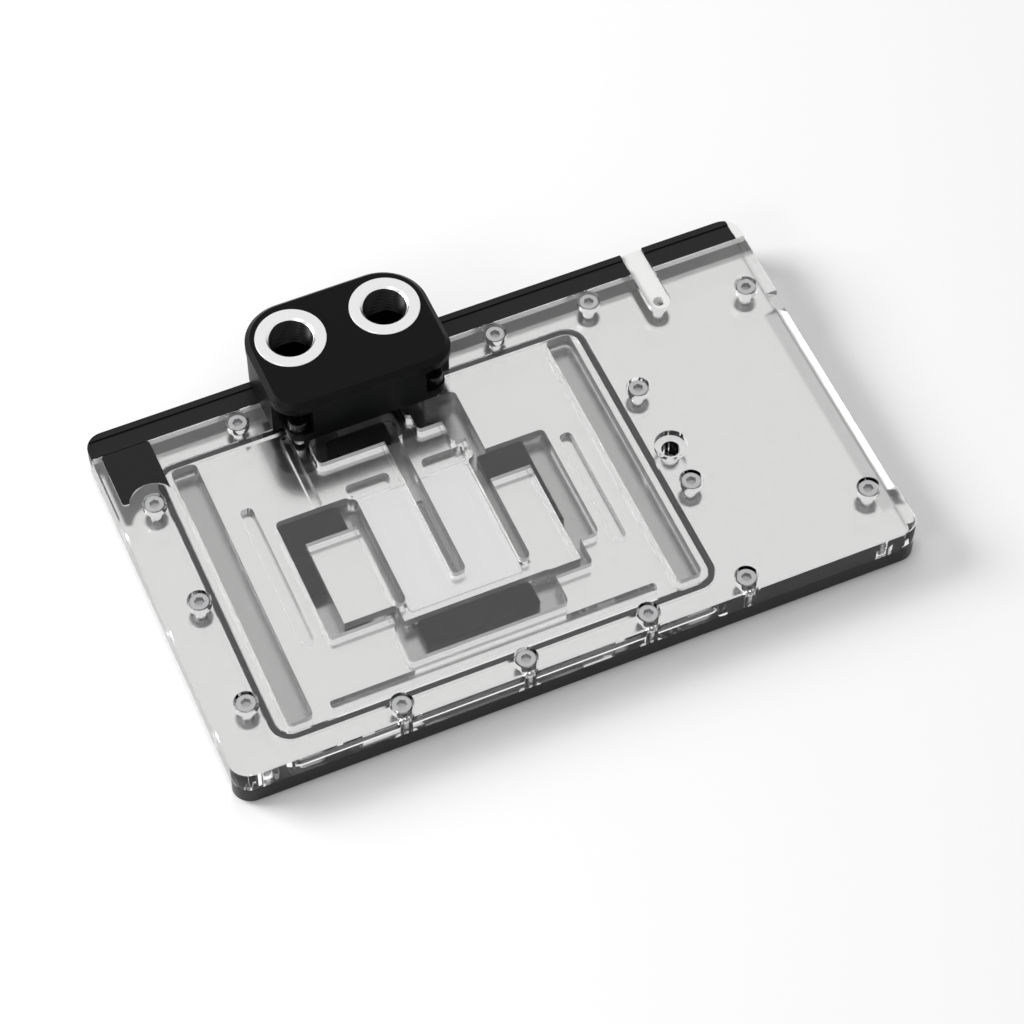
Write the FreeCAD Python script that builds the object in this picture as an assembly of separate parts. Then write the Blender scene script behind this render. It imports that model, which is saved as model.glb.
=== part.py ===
import FreeCAD, Part

import math
import os

from FreeCAD import Vector

# Full-cover liquid cooling cold plate for an expansion card.
#
# A nickel-plated copper plate carries a field of skived micro-fins over the chip.  A clear acrylic
# top with milled flow channels is screwed down on it and sealed by one long gasket.  A black
# terminal block with two G1/4 ports stands on the clear top and overhangs the back edge.
#
# Frame: the origin is the middle of the chip contact face, on the surface that the plate lies on.
# +X runs along the block, +Y towards the ports, +Z up through the clear top.  Millimetres.

# ---- block outline and layers -----------------------------------------------------------------
BLOCK_LENGTH = 192.0
BLOCK_WIDTH = 115.0
CHIP_FROM_LEFT = 76.0        # chip centre to the left edge
CHIP_FROM_FRONT = 51.0       # chip centre to the front edge
BLOCK_CORNER_R = 5.0
PAD_HEIGHT = 1.5             # contact pads and bosses stand this far below the plate
PLATE_THICKNESS = 4.0
TOP_THICKNESS = 8.5
FIT = 0.1                    # gap all round a piece that drops into a pocket
EDGE_BREAK = 0.4             # chamfer on the clear top's upper edge

LEFT = -CHIP_FROM_LEFT
RIGHT = LEFT + BLOCK_LENGTH
FRONT = -CHIP_FROM_FRONT
BACK = FRONT + BLOCK_WIDTH
PLATE_BOTTOM = PAD_HEIGHT
PLATE_TOP = PLATE_BOTTOM + PLATE_THICKNESS
TOP_FACE = PLATE_TOP + TOP_THICKNESS

# ---- fin field and jet plate ------------------------------------------------------------------
FIN_FIELD_LENGTH = 32.0      # along X, the length of each fin
FIN_FIELD_WIDTH = 34.0
FIN_HEIGHT = 3.0
FIN_PITCH = 1.0
FIN_GAP = 0.5
COLLECTOR_WIDTH = 3.0        # trough along each end of the fins
JET_THICKNESS = 0.6
JET_SLOT_WIDTH = 1.6
JET_SLOT_END = 3.0           # solid strip at each end of the jet slot
JET_OVERLAP = 2.0            # beyond the first and the last fin

# ---- main gasket ------------------------------------------------------------------------------
GASKET_HALF_LENGTH = 61.2    # centre line of the loop, from the chip centre
GASKET_FRONT = 41.8
GASKET_BACK = 48.9
GASKET_CORNER_R = 5.0
GASKET_WIDTH = 1.5           # squeezed section
GASKET_HEIGHT = 1.3
GASKET_EDGE = 0.3
GASKET_CLEARANCE = 0.2

# ---- milled channels in the underside of the clear top -------------------------------------------
CHANNEL_DEPTH = 5.0
SHALLOW_DEPTH = 2.0
CUTTER_R = 1.5
SIDE_SLOT_X = 54.3           # long slot along each end of the wet area
SIDE_SLOT_WIDTH = 7.0
SIDE_SLOT_FRONT = 39.5
SIDE_SLOT_BACK = 46.0
RIB_GROOVE_X = 43.6          # narrow groove on each side
RIB_GROOVE_WIDTH = 3.5
LEFT_RIB_FRONT, LEFT_RIB_BACK = -17.5, 28.0
RIGHT_RIB_FRONT, RIGHT_RIB_BACK = -20.0, 17.0
ARM_OUTER_X = 38.5           # L-shaped channels beside the fin field
ARM_BACK = 19.5
ARM_DEPTH_Y = 9.5
LEFT_LEG_WIDTH = 5.0
RIGHT_LEG_WIDTH = 8.0
LEG_FRONT = -17.0
OUTLET_LENGTH = 44.6         # pocket in front of the fin field
OUTLET_BACK = -22.5
OUTLET_WIDTH = 11.5
INLET_LEFT, INLET_RIGHT = -20.8, 3.7
RETURN_LEG_WIDTH = 7.0
RETURN_FRONT = 25.0
RETURN_GAP = 4.0             # wall between the inlet pocket and the return pocket
MANIFOLD_FRONT = 32.5        # front edge of the inlet and return pockets
MANIFOLD_BACK = 40.7
NECK_WIDTH = 6.6             # neck from each pocket to its flow hole
NECK_BACK = 46.5
FEED_WIDTH = 4.0
BAR_GAP = 9.5                # distance between the two shallow bars behind the fins
BAR_LENGTH = 12.3
BAR_WIDTH = 3.8
BAR_OFFSET = 1.0             # from the L-shaped channels' back edge
FRONT_GROOVE_LENGTH = 91.0
FRONT_GROOVE_WIDTH = 2.4
FRONT_GROOVE_FROM_GASKET = 3.2
LINK_WIDTH = 2.4             # narrow links from the legs to the outlet pocket
LEFT_LINK_END = -19.0
RIGHT_LINK_START = 19.0
RIGHT_LINK_END = 33.0
BRIDGE_WIDTH = 3.4           # narrow link from the right arm to the return pocket
FEED_GROOVE_X = -25.5        # shallow groove beside the inlet pocket
FEED_GROOVE_WIDTH = 2.4
FEED_GROOVE_FRONT, FEED_GROOVE_BACK = 21.0, 46.4

# ---- black flow guides ------------------------------------------------------------------------
GUIDE_HEIGHT = 3.0
GUIDE_LEFT_END = -21.0
GUIDE_LEFT_LEG_END = -5.0
GUIDE_RIGHT_WALL = 1.6       # thin wall down the inner side of the right leg
GUIDE_RIGHT_WALL_FRONT = -8.5
GUIDE_OUTLET_LENGTH = 32.0
GUIDE_OUTLET_WIDTH = 8.4
GUIDE_INLET_FROM_LEFT = 4.5
GUIDE_INLET_LENGTH = 17.0
GUIDE_INLET_WIDTH = 7.5

# ---- screws --------------------------------------------------------------------------------------
SCREW_R = 1.5
THREAD_CLEARANCE = 0.03
HEAD_R = 2.75
HEAD_HEIGHT = 3.0
SOCKET_FLATS = 2.5
SOCKET_DEPTH = 1.6
HEAD_SINK = 0.5              # head below the clear top's face
COUNTERBORE_CLEARANCE = 0.45
HOLE_CLEARANCE = 0.2
THREAD_FLOOR = 0.8           # copper left under each threaded hole
LEFT_SCREW_X = 10.5          # from the left edge
LEFT_SCREW_FRONT = 20.8
LEFT_SCREW_PITCH = 33.5
RIGHT_SCREW_X = 7.2          # from the right edge
RIGHT_SCREW_FRONT = 17.3
RIGHT_SCREW_BACK = 91.4
FRONT_SCREW_Y = 4.7
FRONT_SCREW_LEFT = 46.4
FRONT_SCREW_PITCH = 34.3
BACK_SCREW_FROM_STRIP = 3.6
BACK_SCREW_LEFT = 40.0
INNER_SCREW_FROM_GASKET = 5.8
INNER_SCREW_FRONT = 38.2
INNER_SCREW_BACK = 71.6
INNER_SCREW_X = GASKET_HALF_LENGTH + INNER_SCREW_FROM_GASKET
BOARD_HOLE_FROM_FRONT = 50.8
BOARD_HOLE_R = 2.5
BOARD_HOLE_RIM_R = 4.5
BOARD_HOLE_RIM_DEPTH = 2.2

# ---- light strip along the back edge -----------------------------------------------------------
STRIP_WIDTH = 7.5
STRIP_DEPTH = 4.0
STRIP_WALL = 1.2
STRIP_FLUTE_WIDTH = 3.6
STRIP_FLUTE_DEPTH = 0.4
END_CAP_LENGTH = 2.5
NOTCH_FROM_SCREW = 14.5      # left side of the wire notch, from the inner screws
NOTCH_WIDTH = 6.5
NOTCH_REACH = 18.5           # length of the notch from the back edge
NOTCH_LEFT = INNER_SCREW_X + NOTCH_FROM_SCREW
BRIDGE_THICKNESS = 2.2
WIRE_HOLE_R = 1.6
BOARD_THICKNESS = 1.0
BOARD_WIDTH = 4.6
BOARD_END_GAP = 5.5
LED_SIZE = 2.0
LED_HEIGHT = 1.4
LED_COUNT = 12
CORNER_PLATE_LEFT = 2.6
CORNER_PLATE_RIGHT = 16.2
CORNER_PLATE_REACH = 17.4
CORNER_PLATE_THICKNESS = 1.0
CORNER_PLATE_R = 1.0
CORNER_PLATE_RELIEF_R = 6.5

# ---- front trim ----------------------------------------------------------------------------------
TRIM_THICKNESS = 1.6
TRIM_HEIGHT = 5.2

# ---- right-hand edge bevel -----------------------------------------------------------------------
BEVEL_WIDTH = 3.3
BEVEL_DROP = 2.2
BEVEL_FRONT = 14.5
BEVEL_BACK = 86.6

# ---- terminal ---------------------------------------------------------------------------------
PORT_SPACING = 27.0
PORT_MID_X = 73.15           # from the left edge
PORT_FROM_BACK = 2.2         # port axes lie this far inside the back edge
PORT_R = 5.72                # G1/4 thread, minor radius
PORT_CAVITY_R = 6.4
PORT_CHAMFER = 0.9
PORT_LENGTH = 10.0
RING_R = 9.73
RING_FLANGE = 2.0
RING_PROUD = 0.4
RING_BARREL_R = 8.2
RING_EDGE = 0.4
TERMINAL_END = 12.2          # from each port axis to the end of the cap
TERMINAL_HEIGHT = 15.6
TERMINAL_BACK_R = 12.8
TERMINAL_OVERHANG = 10.9
TERMINAL_REACH = 24.8        # front of the cap from the block's back edge
CAP_THICKNESS = 3.6          # the port rings hold the cap on the body
CAP_FRONT_R = 7.5
CAP_EDGE = 1.4               # chamfer along the cap's upper edge
CAP_OVERHANG = 0.2           # cap beyond the body, all round
TERMINAL_LENGTH = PORT_SPACING + 2 * TERMINAL_END
LIP_DEPTH = 6.0
LIP_INSET = 1.5
LIP_CLEARANCE = 0.3
LUG_NOTCH_X = 9.5            # corner notch over each lug, from the cap's end and front
LUG_NOTCH_Y = 7.0
LUG_HEIGHT = 3.0
LUG_HEAD_CLEARANCE = 0.45
LUG_THREAD_DEPTH = 6.0
FLOW_SPACING = 25.0
FLOW_HOLE_R = 2.8
FLOW_HOLE_Y = 17.6           # from the block's back edge
FLOW_HOLE_DEPTH = 5.5
PASSAGE_R = 2.8
PASSAGE_RISE = 3.4
SEAL_INNER_R = 3.6
SEAL_WIDTH = 1.6
SEAL_HEIGHT = 1.2
SEAL_EDGE = 0.3

# ---- underside ----------------------------------------------------------------------------------
CHIP_PAD = 36.0
CHIP_PAD_R = 1.5
MEMORY_PAD_X, MEMORY_PAD_Y = 14.0, 12.0
MEMORY_PAD_HEIGHT = 0.9
MEMORY_RING = 36.0           # memory pad centres from the chip centre
MEMORY_PITCH = 17.0
POWER_PAD_LENGTH = 58.0
POWER_PAD_WIDTH = 12.0
POWER_PAD_HEIGHT = 1.1
POWER_PAD_LEFT = -57.0
POWER_PAD_RIGHT = 82.0
CHIP_BOLT_SPACING = 58.0
BOARD_BOLT_X = 150.0
BOARD_BOLT_Y = 84.0
BOSS_R = 3.6
BOSS_HOLE_R = 1.25
BOSS_HOLE_DEPTH = 3.0


def outline(points, radii):
    """Closed wire through the corner points, each corner rounded by its radius (0 is sharp)."""
    count = len(points)
    corners = []
    for i in range(count):
        here = Vector(*points[i], 0)
        towards_last = (Vector(*points[i - 1], 0) - here).normalize()
        towards_next = (Vector(*points[(i + 1) % count], 0) - here).normalize()
        radius = radii[i]
        if radius <= 0:
            corners.append((here, None, here))
            continue
        half = towards_last.getAngle(towards_next) / 2
        reach = radius / math.tan(half)
        middle = (towards_last + towards_next).normalize()
        centre = here + middle * (radius / math.sin(half))
        corners.append((here + towards_last * reach, centre - middle * radius,
                        here + towards_next * reach))
    edges = []
    for i, (start, crown, end) in enumerate(corners):
        if crown is not None:
            edges.append(Part.Arc(start, crown, end).toShape())
        following = corners[(i + 1) % count][0]
        if end.distanceToPoint(following) > 1e-6:
            edges.append(Part.LineSegment(end, following).toShape())
    return Part.Wire(edges)


def prism(points, radii, bottom, top):
    """Solid between two heights with a rounded polygon for its outline."""
    wire = outline(points, radii)
    wire.translate(Vector(0, 0, bottom))
    return Part.Face(wire).extrude(Vector(0, 0, top - bottom))


def slab(x0, x1, y0, y1, bottom, top, radius=0.0):
    """Upright block with four equal corner radii."""
    corners = [(x0, y0), (x1, y0), (x1, y1), (x0, y1)]
    return prism(corners, [radius] * 4, bottom, top)


def rod(x, y, bottom, top, radius):
    """Upright cylinder."""
    return Part.makeCylinder(radius, top - bottom, Vector(x, y, bottom))


def block_slab(bottom, top, inset=0.0):
    """Slab with the block's own outline, drawn in by an inset."""
    return slab(LEFT + inset, RIGHT - inset, FRONT + inset, BACK - inset, bottom, top,
                BLOCK_CORNER_R - inset)


def gasket_loop(inset, bottom, top):
    """Solid inside the gasket's centre line, drawn in by an inset (out if negative)."""
    reach = GASKET_HALF_LENGTH - inset
    return slab(-reach, reach, -GASKET_FRONT + inset, GASKET_BACK - inset, bottom, top,
                GASKET_CORNER_R - inset)


def left_screw_places():
    """Plan positions of the screws along the left edge, front first."""
    return [(LEFT + LEFT_SCREW_X, FRONT + LEFT_SCREW_FRONT + i * LEFT_SCREW_PITCH)
            for i in range(3)]


def cover_screw_places():
    """Plan positions of the screws that hold the clear top on the plate."""
    right_x = RIGHT - RIGHT_SCREW_X
    front_y = FRONT + FRONT_SCREW_Y
    strip_front = BACK - STRIP_WIDTH
    back_y = strip_front - BACK_SCREW_FROM_STRIP
    front_x = [LEFT + FRONT_SCREW_LEFT + i * FRONT_SCREW_PITCH for i in range(3)]
    places = left_screw_places()
    places += [(right_x, FRONT + RIGHT_SCREW_FRONT), (right_x, FRONT + RIGHT_SCREW_BACK)]
    places += [(x, front_y) for x in front_x] + [(INNER_SCREW_X, front_y)]
    places += [(LEFT + BACK_SCREW_LEFT, back_y), (front_x[2], back_y),
               (INNER_SCREW_X, back_y)]
    places += [(INNER_SCREW_X, FRONT + INNER_SCREW_FRONT),
               (INNER_SCREW_X, FRONT + INNER_SCREW_BACK)]
    return places


def board_hole_place():
    """Through hole between the two inner screws."""
    return INNER_SCREW_X, FRONT + BOARD_HOLE_FROM_FRONT


def port_places():
    """Plan positions of the two port axes."""
    middle = LEFT + PORT_MID_X
    y = BACK - PORT_FROM_BACK
    return [(middle - PORT_SPACING / 2, y), (middle + PORT_SPACING / 2, y)]


def flow_places():
    """Plan positions of the two holes that join the terminal to the clear top."""
    middle = LEFT + PORT_MID_X
    return [(middle + side * FLOW_SPACING / 2, BACK - FLOW_HOLE_Y) for side in (-1, 1)]


def lug_places():
    """Plan positions of the terminal's two screws, each centred on its notch's rounding."""
    middle = LEFT + PORT_MID_X
    radius = HEAD_R + LUG_HEAD_CLEARANCE
    reach = TERMINAL_LENGTH / 2 - LUG_NOTCH_X + radius
    y = BACK - TERMINAL_REACH + LUG_NOTCH_Y - radius
    return [(middle - reach, y), (middle + reach, y)]


def socket_screw(x, y, head_bottom, tip):
    """Socket head cap screw, head up, tip down."""
    head = rod(x, y, head_bottom, head_bottom + HEAD_HEIGHT, HEAD_R)
    socket_r = SOCKET_FLATS / math.sqrt(3)
    hexagon = [(x + socket_r * math.cos(math.radians(60 * i)),
                y + socket_r * math.sin(math.radians(60 * i))) for i in range(6)]
    top = head_bottom + HEAD_HEIGHT
    socket = prism(hexagon, [0] * 6, top - SOCKET_DEPTH, top + 1)
    shank = rod(x, y, tip, head_bottom, SCREW_R)
    return head.fuse(shank).removeSplitter().cut(socket)


def trim_band(inset, bottom, top, clearance=0.0):
    """Band along the front edge and round both front corners."""
    band = block_slab(bottom, top, inset).cut(block_slab(bottom - 1, top + 1,
                                                         TRIM_THICKNESS + clearance))
    limit = FRONT + BLOCK_CORNER_R
    keep = slab(LEFT - 1, RIGHT + 1, FRONT - 1, limit + clearance, bottom, top)
    return band.common(keep)


def side_span(side, near, far):
    """Ascending X limits of a stretch that lies near..far from the chip centre on one side."""
    return sorted((side * near, side * far))


def return_span():
    """X limits of the return pocket."""
    left = INLET_RIGHT + RETURN_GAP
    return left, left + 2 * RETURN_LEG_WIDTH


def fin_field():
    """Pocket, collectors and the gaps between the fins, as one cutting tool."""
    half_length, half_width = FIN_FIELD_LENGTH / 2, FIN_FIELD_WIDTH / 2
    floor, roof = PLATE_TOP - FIN_HEIGHT, PLATE_TOP + 1
    collectors = [slab(*side_span(side, half_length, half_length + COLLECTOR_WIDTH),
                       -half_width, half_width, floor, roof) for side in (-1, 1)]
    count = int(FIN_FIELD_WIDTH / FIN_PITCH)
    first = -(count - 1) * FIN_PITCH / 2
    gaps = []
    for i in range(count):
        y = first + i * FIN_PITCH
        gaps.append(slab(-half_length, half_length, y - FIN_GAP / 2, y + FIN_GAP / 2, floor,
                         roof))
    return collectors[0].multiFuse(collectors[1:] + gaps).removeSplitter()


def underside_pads():
    """Raised contact pads and threaded bosses below the plate."""
    half = CHIP_PAD / 2
    pads = [slab(-half, half, -half, half, 0, PLATE_BOTTOM, CHIP_PAD_R)]
    memory_bottom = PLATE_BOTTOM - MEMORY_PAD_HEIGHT
    for side in (-1, 1):
        for step in (-1, 0, 1):
            pads.append(centred_pad(side * MEMORY_RING, step * MEMORY_PITCH, MEMORY_PAD_Y,
                                    MEMORY_PAD_X, memory_bottom))
    for step in (-0.5, 0.5):
        pads.append(centred_pad(step * MEMORY_PITCH, -MEMORY_RING, MEMORY_PAD_X, MEMORY_PAD_Y,
                                memory_bottom))
    for x in (POWER_PAD_LEFT, POWER_PAD_RIGHT):
        pads.append(centred_pad(x, 0, POWER_PAD_WIDTH, POWER_PAD_LENGTH,
                                PLATE_BOTTOM - POWER_PAD_HEIGHT))
    pads += [rod(x, y, 0, PLATE_BOTTOM, BOSS_R) for x, y in boss_places()]
    return pads


def centred_pad(x, y, length, width, bottom):
    """One rectangular pad under the plate, placed by its centre."""
    return slab(x - length / 2, x + length / 2, y - width / 2, y + width / 2, bottom,
                PLATE_BOTTOM, CHIP_PAD_R)


def boss_places():
    """Plan positions of the threaded bosses: four round the chip, four for the board."""
    half = CHIP_BOLT_SPACING / 2
    chip = [(sx * half, sy * half) for sx in (-1, 1) for sy in (-1, 1)]
    middle_x, middle_y = (LEFT + RIGHT) / 2, (FRONT + BACK) / 2
    board = [(middle_x + sx * BOARD_BOLT_X / 2, middle_y + sy * BOARD_BOLT_Y / 2)
             for sx in (-1, 1) for sy in (-1, 1)]
    return chip + board


def cold_plate():
    """Nickel-plated copper plate: fins and threads above, pads and bosses below."""
    plate = block_slab(PLATE_BOTTOM, PLATE_TOP)
    plate = plate.cut(trim_band(-1.0, PLATE_BOTTOM - 1, PLATE_TOP + 1, FIT))
    plate = plate.multiFuse(underside_pads()).removeSplitter()
    cuts = [fin_field()]
    thread_bottom = PLATE_BOTTOM + THREAD_FLOOR
    cuts += [rod(x, y, thread_bottom, PLATE_TOP + 1, SCREW_R + THREAD_CLEARANCE)
             for x, y in cover_screw_places()]
    cuts += [rod(x, y, -1, BOSS_HOLE_DEPTH, BOSS_HOLE_R) for x, y in boss_places()]
    hole_x, hole_y = board_hole_place()
    cuts.append(rod(hole_x, hole_y, -1, PLATE_TOP + 1, BOARD_HOLE_R))
    wire_x, wire_y = wire_hole_place()
    cuts.append(rod(wire_x, wire_y, -1, PLATE_TOP + 1, WIRE_HOLE_R))
    return plate.cut(cuts)


def wire_hole_place():
    """Hole at the front end of the wire notch."""
    return NOTCH_LEFT + NOTCH_WIDTH / 2, BACK - NOTCH_REACH


def channel(x0, x1, y0, y1, depth=CHANNEL_DEPTH, radius=CUTTER_R):
    """One milled channel in the clear top's underside."""
    return slab(x0, x1, y0, y1, PLATE_TOP - 1, PLATE_TOP + depth, radius)


def side_channels(side):
    """Channels on one side of the fin field: end slot, collector, arm and shallow bar."""
    fin_end, fin_half = FIN_FIELD_LENGTH / 2, FIN_FIELD_WIDTH / 2
    slot_near = SIDE_SLOT_X - SIDE_SLOT_WIDTH / 2
    bar_front = ARM_BACK + BAR_OFFSET
    return [channel(*side_span(side, slot_near, slot_near + SIDE_SLOT_WIDTH), -SIDE_SLOT_FRONT,
                    SIDE_SLOT_BACK),
            channel(*side_span(side, fin_end, fin_end + COLLECTOR_WIDTH), -fin_half,
                    fin_half + CUTTER_R),
            channel(*side_span(side, fin_end + COLLECTOR_WIDTH / 2, ARM_OUTER_X),
                    ARM_BACK - ARM_DEPTH_Y, ARM_BACK),
            channel(*side_span(side, BAR_GAP / 2, BAR_GAP / 2 + BAR_LENGTH), bar_front,
                    bar_front + BAR_WIDTH, SHALLOW_DEPTH)]


def rib_groove(side, front, back):
    """Narrow shallow groove between an L-shaped channel and the end slot."""
    near = RIB_GROOVE_X - RIB_GROOVE_WIDTH / 2
    return channel(*side_span(side, near, near + RIB_GROOVE_WIDTH), front, back, SHALLOW_DEPTH)


def manifold():
    """Inlet and return pockets, their necks to the flow holes, and the feed over the jet slot."""
    return_left, return_right = return_span()
    tools = [channel(INLET_LEFT, INLET_RIGHT, MANIFOLD_FRONT, MANIFOLD_BACK),
             channel(return_left, return_right, MANIFOLD_FRONT, MANIFOLD_BACK),
             channel(return_right - RETURN_LEG_WIDTH, return_right, RETURN_FRONT,
                     MANIFOLD_FRONT + 2 * CUTTER_R),
             channel(-FEED_WIDTH / 2, FEED_WIDTH / 2, -FIN_FIELD_WIDTH / 2 + JET_SLOT_END,
                     MANIFOLD_FRONT + 2 * CUTTER_R)]
    for x, _ in flow_places():
        tools.append(channel(x - NECK_WIDTH / 2, x + NECK_WIDTH / 2, MANIFOLD_BACK - 2 * CUTTER_R,
                             NECK_BACK))
    return tools


def links():
    """Narrow links that join the legs, the outlet pocket and the return pocket."""
    radius = LINK_WIDTH / 2 - 0.01
    leg_front = LEG_FRONT - LINK_WIDTH
    right_y = OUTLET_BACK - CUTTER_R
    _, return_right = return_span()
    return [channel(-ARM_OUTER_X, LEFT_LINK_END, leg_front, LEG_FRONT, radius=radius),
            channel(LEFT_LINK_END - LINK_WIDTH, LEFT_LINK_END, OUTLET_BACK - 2 * CUTTER_R,
                    LEG_FRONT, radius=radius),
            channel(RIGHT_LINK_START, RIGHT_LINK_END, right_y - LINK_WIDTH / 2,
                    right_y + LINK_WIDTH / 2, radius=radius),
            channel(RIGHT_LINK_END - LINK_WIDTH, RIGHT_LINK_END, right_y - LINK_WIDTH / 2,
                    LEG_FRONT + 2 * CUTTER_R, radius=radius),
            channel(return_right - BRIDGE_WIDTH, return_right, ARM_BACK - 2 * CUTTER_R,
                    RETURN_FRONT + 2 * CUTTER_R)]


def flow_channels():
    """Every channel milled into the clear top's underside."""
    leg_back = ARM_BACK - ARM_DEPTH_Y + 2 * CUTTER_R
    outlet_half = OUTLET_LENGTH / 2
    groove_half = FRONT_GROOVE_LENGTH / 2
    groove_front = -GASKET_FRONT + FRONT_GROOVE_FROM_GASKET
    tools = side_channels(-1) + side_channels(1) + manifold() + links()
    tools.append(channel(-ARM_OUTER_X, -ARM_OUTER_X + LEFT_LEG_WIDTH, LEG_FRONT - LINK_WIDTH,
                         leg_back))
    tools.append(channel(ARM_OUTER_X - RIGHT_LEG_WIDTH, ARM_OUTER_X, LEG_FRONT, leg_back))
    tools.append(rib_groove(-1, LEFT_RIB_FRONT, LEFT_RIB_BACK))
    tools.append(rib_groove(1, RIGHT_RIB_FRONT, RIGHT_RIB_BACK))
    tools.append(channel(-outlet_half, outlet_half, OUTLET_BACK - OUTLET_WIDTH, OUTLET_BACK))
    tools.append(channel(-groove_half, groove_half, groove_front,
                         groove_front + FRONT_GROOVE_WIDTH, SHALLOW_DEPTH, FRONT_GROOVE_WIDTH / 3))
    tools.append(channel(FEED_GROOVE_X - FEED_GROOVE_WIDTH / 2,
                         FEED_GROOVE_X + FEED_GROOVE_WIDTH / 2, FEED_GROOVE_FRONT,
                         FEED_GROOVE_BACK, SHALLOW_DEPTH, FEED_GROOVE_WIDTH / 3))
    return tools


def jet_outline(bottom, top, grow=0.0):
    """Jet plate's outline: it covers the fins and leaves the collectors open."""
    half_length = FIN_FIELD_LENGTH / 2 - FIT + grow
    half_width = FIN_FIELD_WIDTH / 2 + JET_OVERLAP - FIT + grow
    return slab(-half_length, half_length, -half_width, half_width, bottom, top, 1.0)


def strip_region(bottom, top, clearance=0.0):
    """Rebate along the back edge that holds the lighting."""
    keep = slab(LEFT - 1, RIGHT + 1, BACK - STRIP_WIDTH + clearance, BACK + 1, bottom, top)
    return block_slab(bottom, top).common(keep)


def corner_plate_outline(bottom, top, inset=0.0):
    """Plate in the back-left corner, hollowed round the nearest screw."""
    strip_front = BACK - STRIP_WIDTH
    plate = slab(LEFT + CORNER_PLATE_LEFT + inset, LEFT + CORNER_PLATE_RIGHT - inset,
                 strip_front - CORNER_PLATE_REACH + inset, strip_front - inset, bottom, top,
                 CORNER_PLATE_R)
    screw_x, screw_y = left_screw_places()[-1]
    return plate.cut(rod(screw_x, screw_y, bottom - 1, top + 1, CORNER_PLATE_RELIEF_R + inset))


def notch(bottom, top, inset=0.0):
    """Wire notch from the back edge to the wire hole."""
    _, hole_y = wire_hole_place()
    x0 = NOTCH_LEFT + inset
    return slab(x0, x0 + NOTCH_WIDTH - 2 * inset, hole_y - NOTCH_WIDTH / 2 + inset, BACK + 5,
                bottom, top, NOTCH_WIDTH / 2 - inset - 0.01)


def edge_bevel():
    """Bevel along the middle of the right-hand edge."""
    profile = [Vector(RIGHT - BEVEL_WIDTH, 0, TOP_FACE), Vector(RIGHT + 1, 0, TOP_FACE),
               Vector(RIGHT + 1, 0, TOP_FACE - BEVEL_DROP * (1 + 1 / BEVEL_WIDTH))]
    face = Part.Face(Part.makePolygon(profile + profile[:1]))
    face.translate(Vector(0, FRONT + BEVEL_FRONT, 0))
    return face.extrude(Vector(0, BEVEL_BACK - BEVEL_FRONT, 0))


def clear_top():
    """Clear acrylic flow plate."""
    top = block_slab(PLATE_TOP, TOP_FACE)
    top = top.makeChamfer(EDGE_BREAK, [e for e in top.Edges if e.BoundBox.ZMin > TOP_FACE - 0.01])
    half = GASKET_WIDTH / 2 + GASKET_CLEARANCE
    groove = gasket_loop(-half, PLATE_TOP - 1, PLATE_TOP + GASKET_HEIGHT).cut(
        gasket_loop(half, PLATE_TOP - 1, PLATE_TOP + GASKET_HEIGHT))
    cuts = [groove, edge_bevel()] + flow_channels()
    cuts.append(jet_outline(PLATE_TOP - 1, PLATE_TOP + JET_THICKNESS, FIT))
    head_bottom = TOP_FACE - HEAD_SINK - HEAD_HEIGHT
    for x, y in cover_screw_places():
        cuts.append(rod(x, y, PLATE_TOP - 1, TOP_FACE + 1, SCREW_R + HOLE_CLEARANCE))
        cuts.append(rod(x, y, head_bottom, TOP_FACE + 1, HEAD_R + COUNTERBORE_CLEARANCE))
    hole_x, hole_y = board_hole_place()
    cuts.append(rod(hole_x, hole_y, PLATE_TOP - 1, TOP_FACE + 1, BOARD_HOLE_R))
    cuts.append(rod(hole_x, hole_y, TOP_FACE - BOARD_HOLE_RIM_DEPTH, TOP_FACE + 1,
                    BOARD_HOLE_RIM_R))
    for x, y in flow_places():
        cuts.append(rod(x, y, TOP_FACE - FLOW_HOLE_DEPTH, TOP_FACE + 1, FLOW_HOLE_R))
    for x, y in lug_places():
        cuts.append(rod(x, y, TOP_FACE - LUG_THREAD_DEPTH, TOP_FACE + 1,
                        SCREW_R + THREAD_CLEARANCE))
    cuts.append(strip_region(TOP_FACE - STRIP_DEPTH, TOP_FACE + 1))
    cuts.append(notch(TOP_FACE - STRIP_DEPTH + BOARD_THICKNESS, TOP_FACE + 1))
    wire_x, wire_y = wire_hole_place()
    cuts.append(rod(wire_x, wire_y, PLATE_TOP - 1, TOP_FACE + 1, WIRE_HOLE_R))
    cuts.append(corner_plate_outline(TOP_FACE - CORNER_PLATE_THICKNESS, TOP_FACE + 1))
    trim_top = PLATE_BOTTOM + TRIM_HEIGHT
    cuts.append(trim_band(-1.0, PLATE_TOP - 1, trim_top + FIT, FIT))
    return top.cut(cuts)


def main_o_ring():
    """Gasket as it sits squeezed in its groove: flat on both faces, eased at the edges."""
    half = GASKET_WIDTH / 2
    ring = gasket_loop(-half, PLATE_TOP, PLATE_TOP + GASKET_HEIGHT).cut(
        gasket_loop(half, PLATE_TOP - 1, PLATE_TOP + GASKET_HEIGHT + 1))
    return ring.makeChamfer(GASKET_EDGE, [e for e in ring.Edges if e.BoundBox.ZLength < 1e-6])


def jet_plate():
    """Thin plate with one slot that sprays coolant on the middle of the fins."""
    top = PLATE_TOP + JET_THICKNESS
    slot_end = FIN_FIELD_WIDTH / 2 - JET_SLOT_END
    slot = slab(-JET_SLOT_WIDTH / 2, JET_SLOT_WIDTH / 2, -slot_end, slot_end, PLATE_TOP - 1,
                top + 1, JET_SLOT_WIDTH / 2 - 0.01)
    return jet_outline(PLATE_TOP, top).cut(slot)


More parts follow.
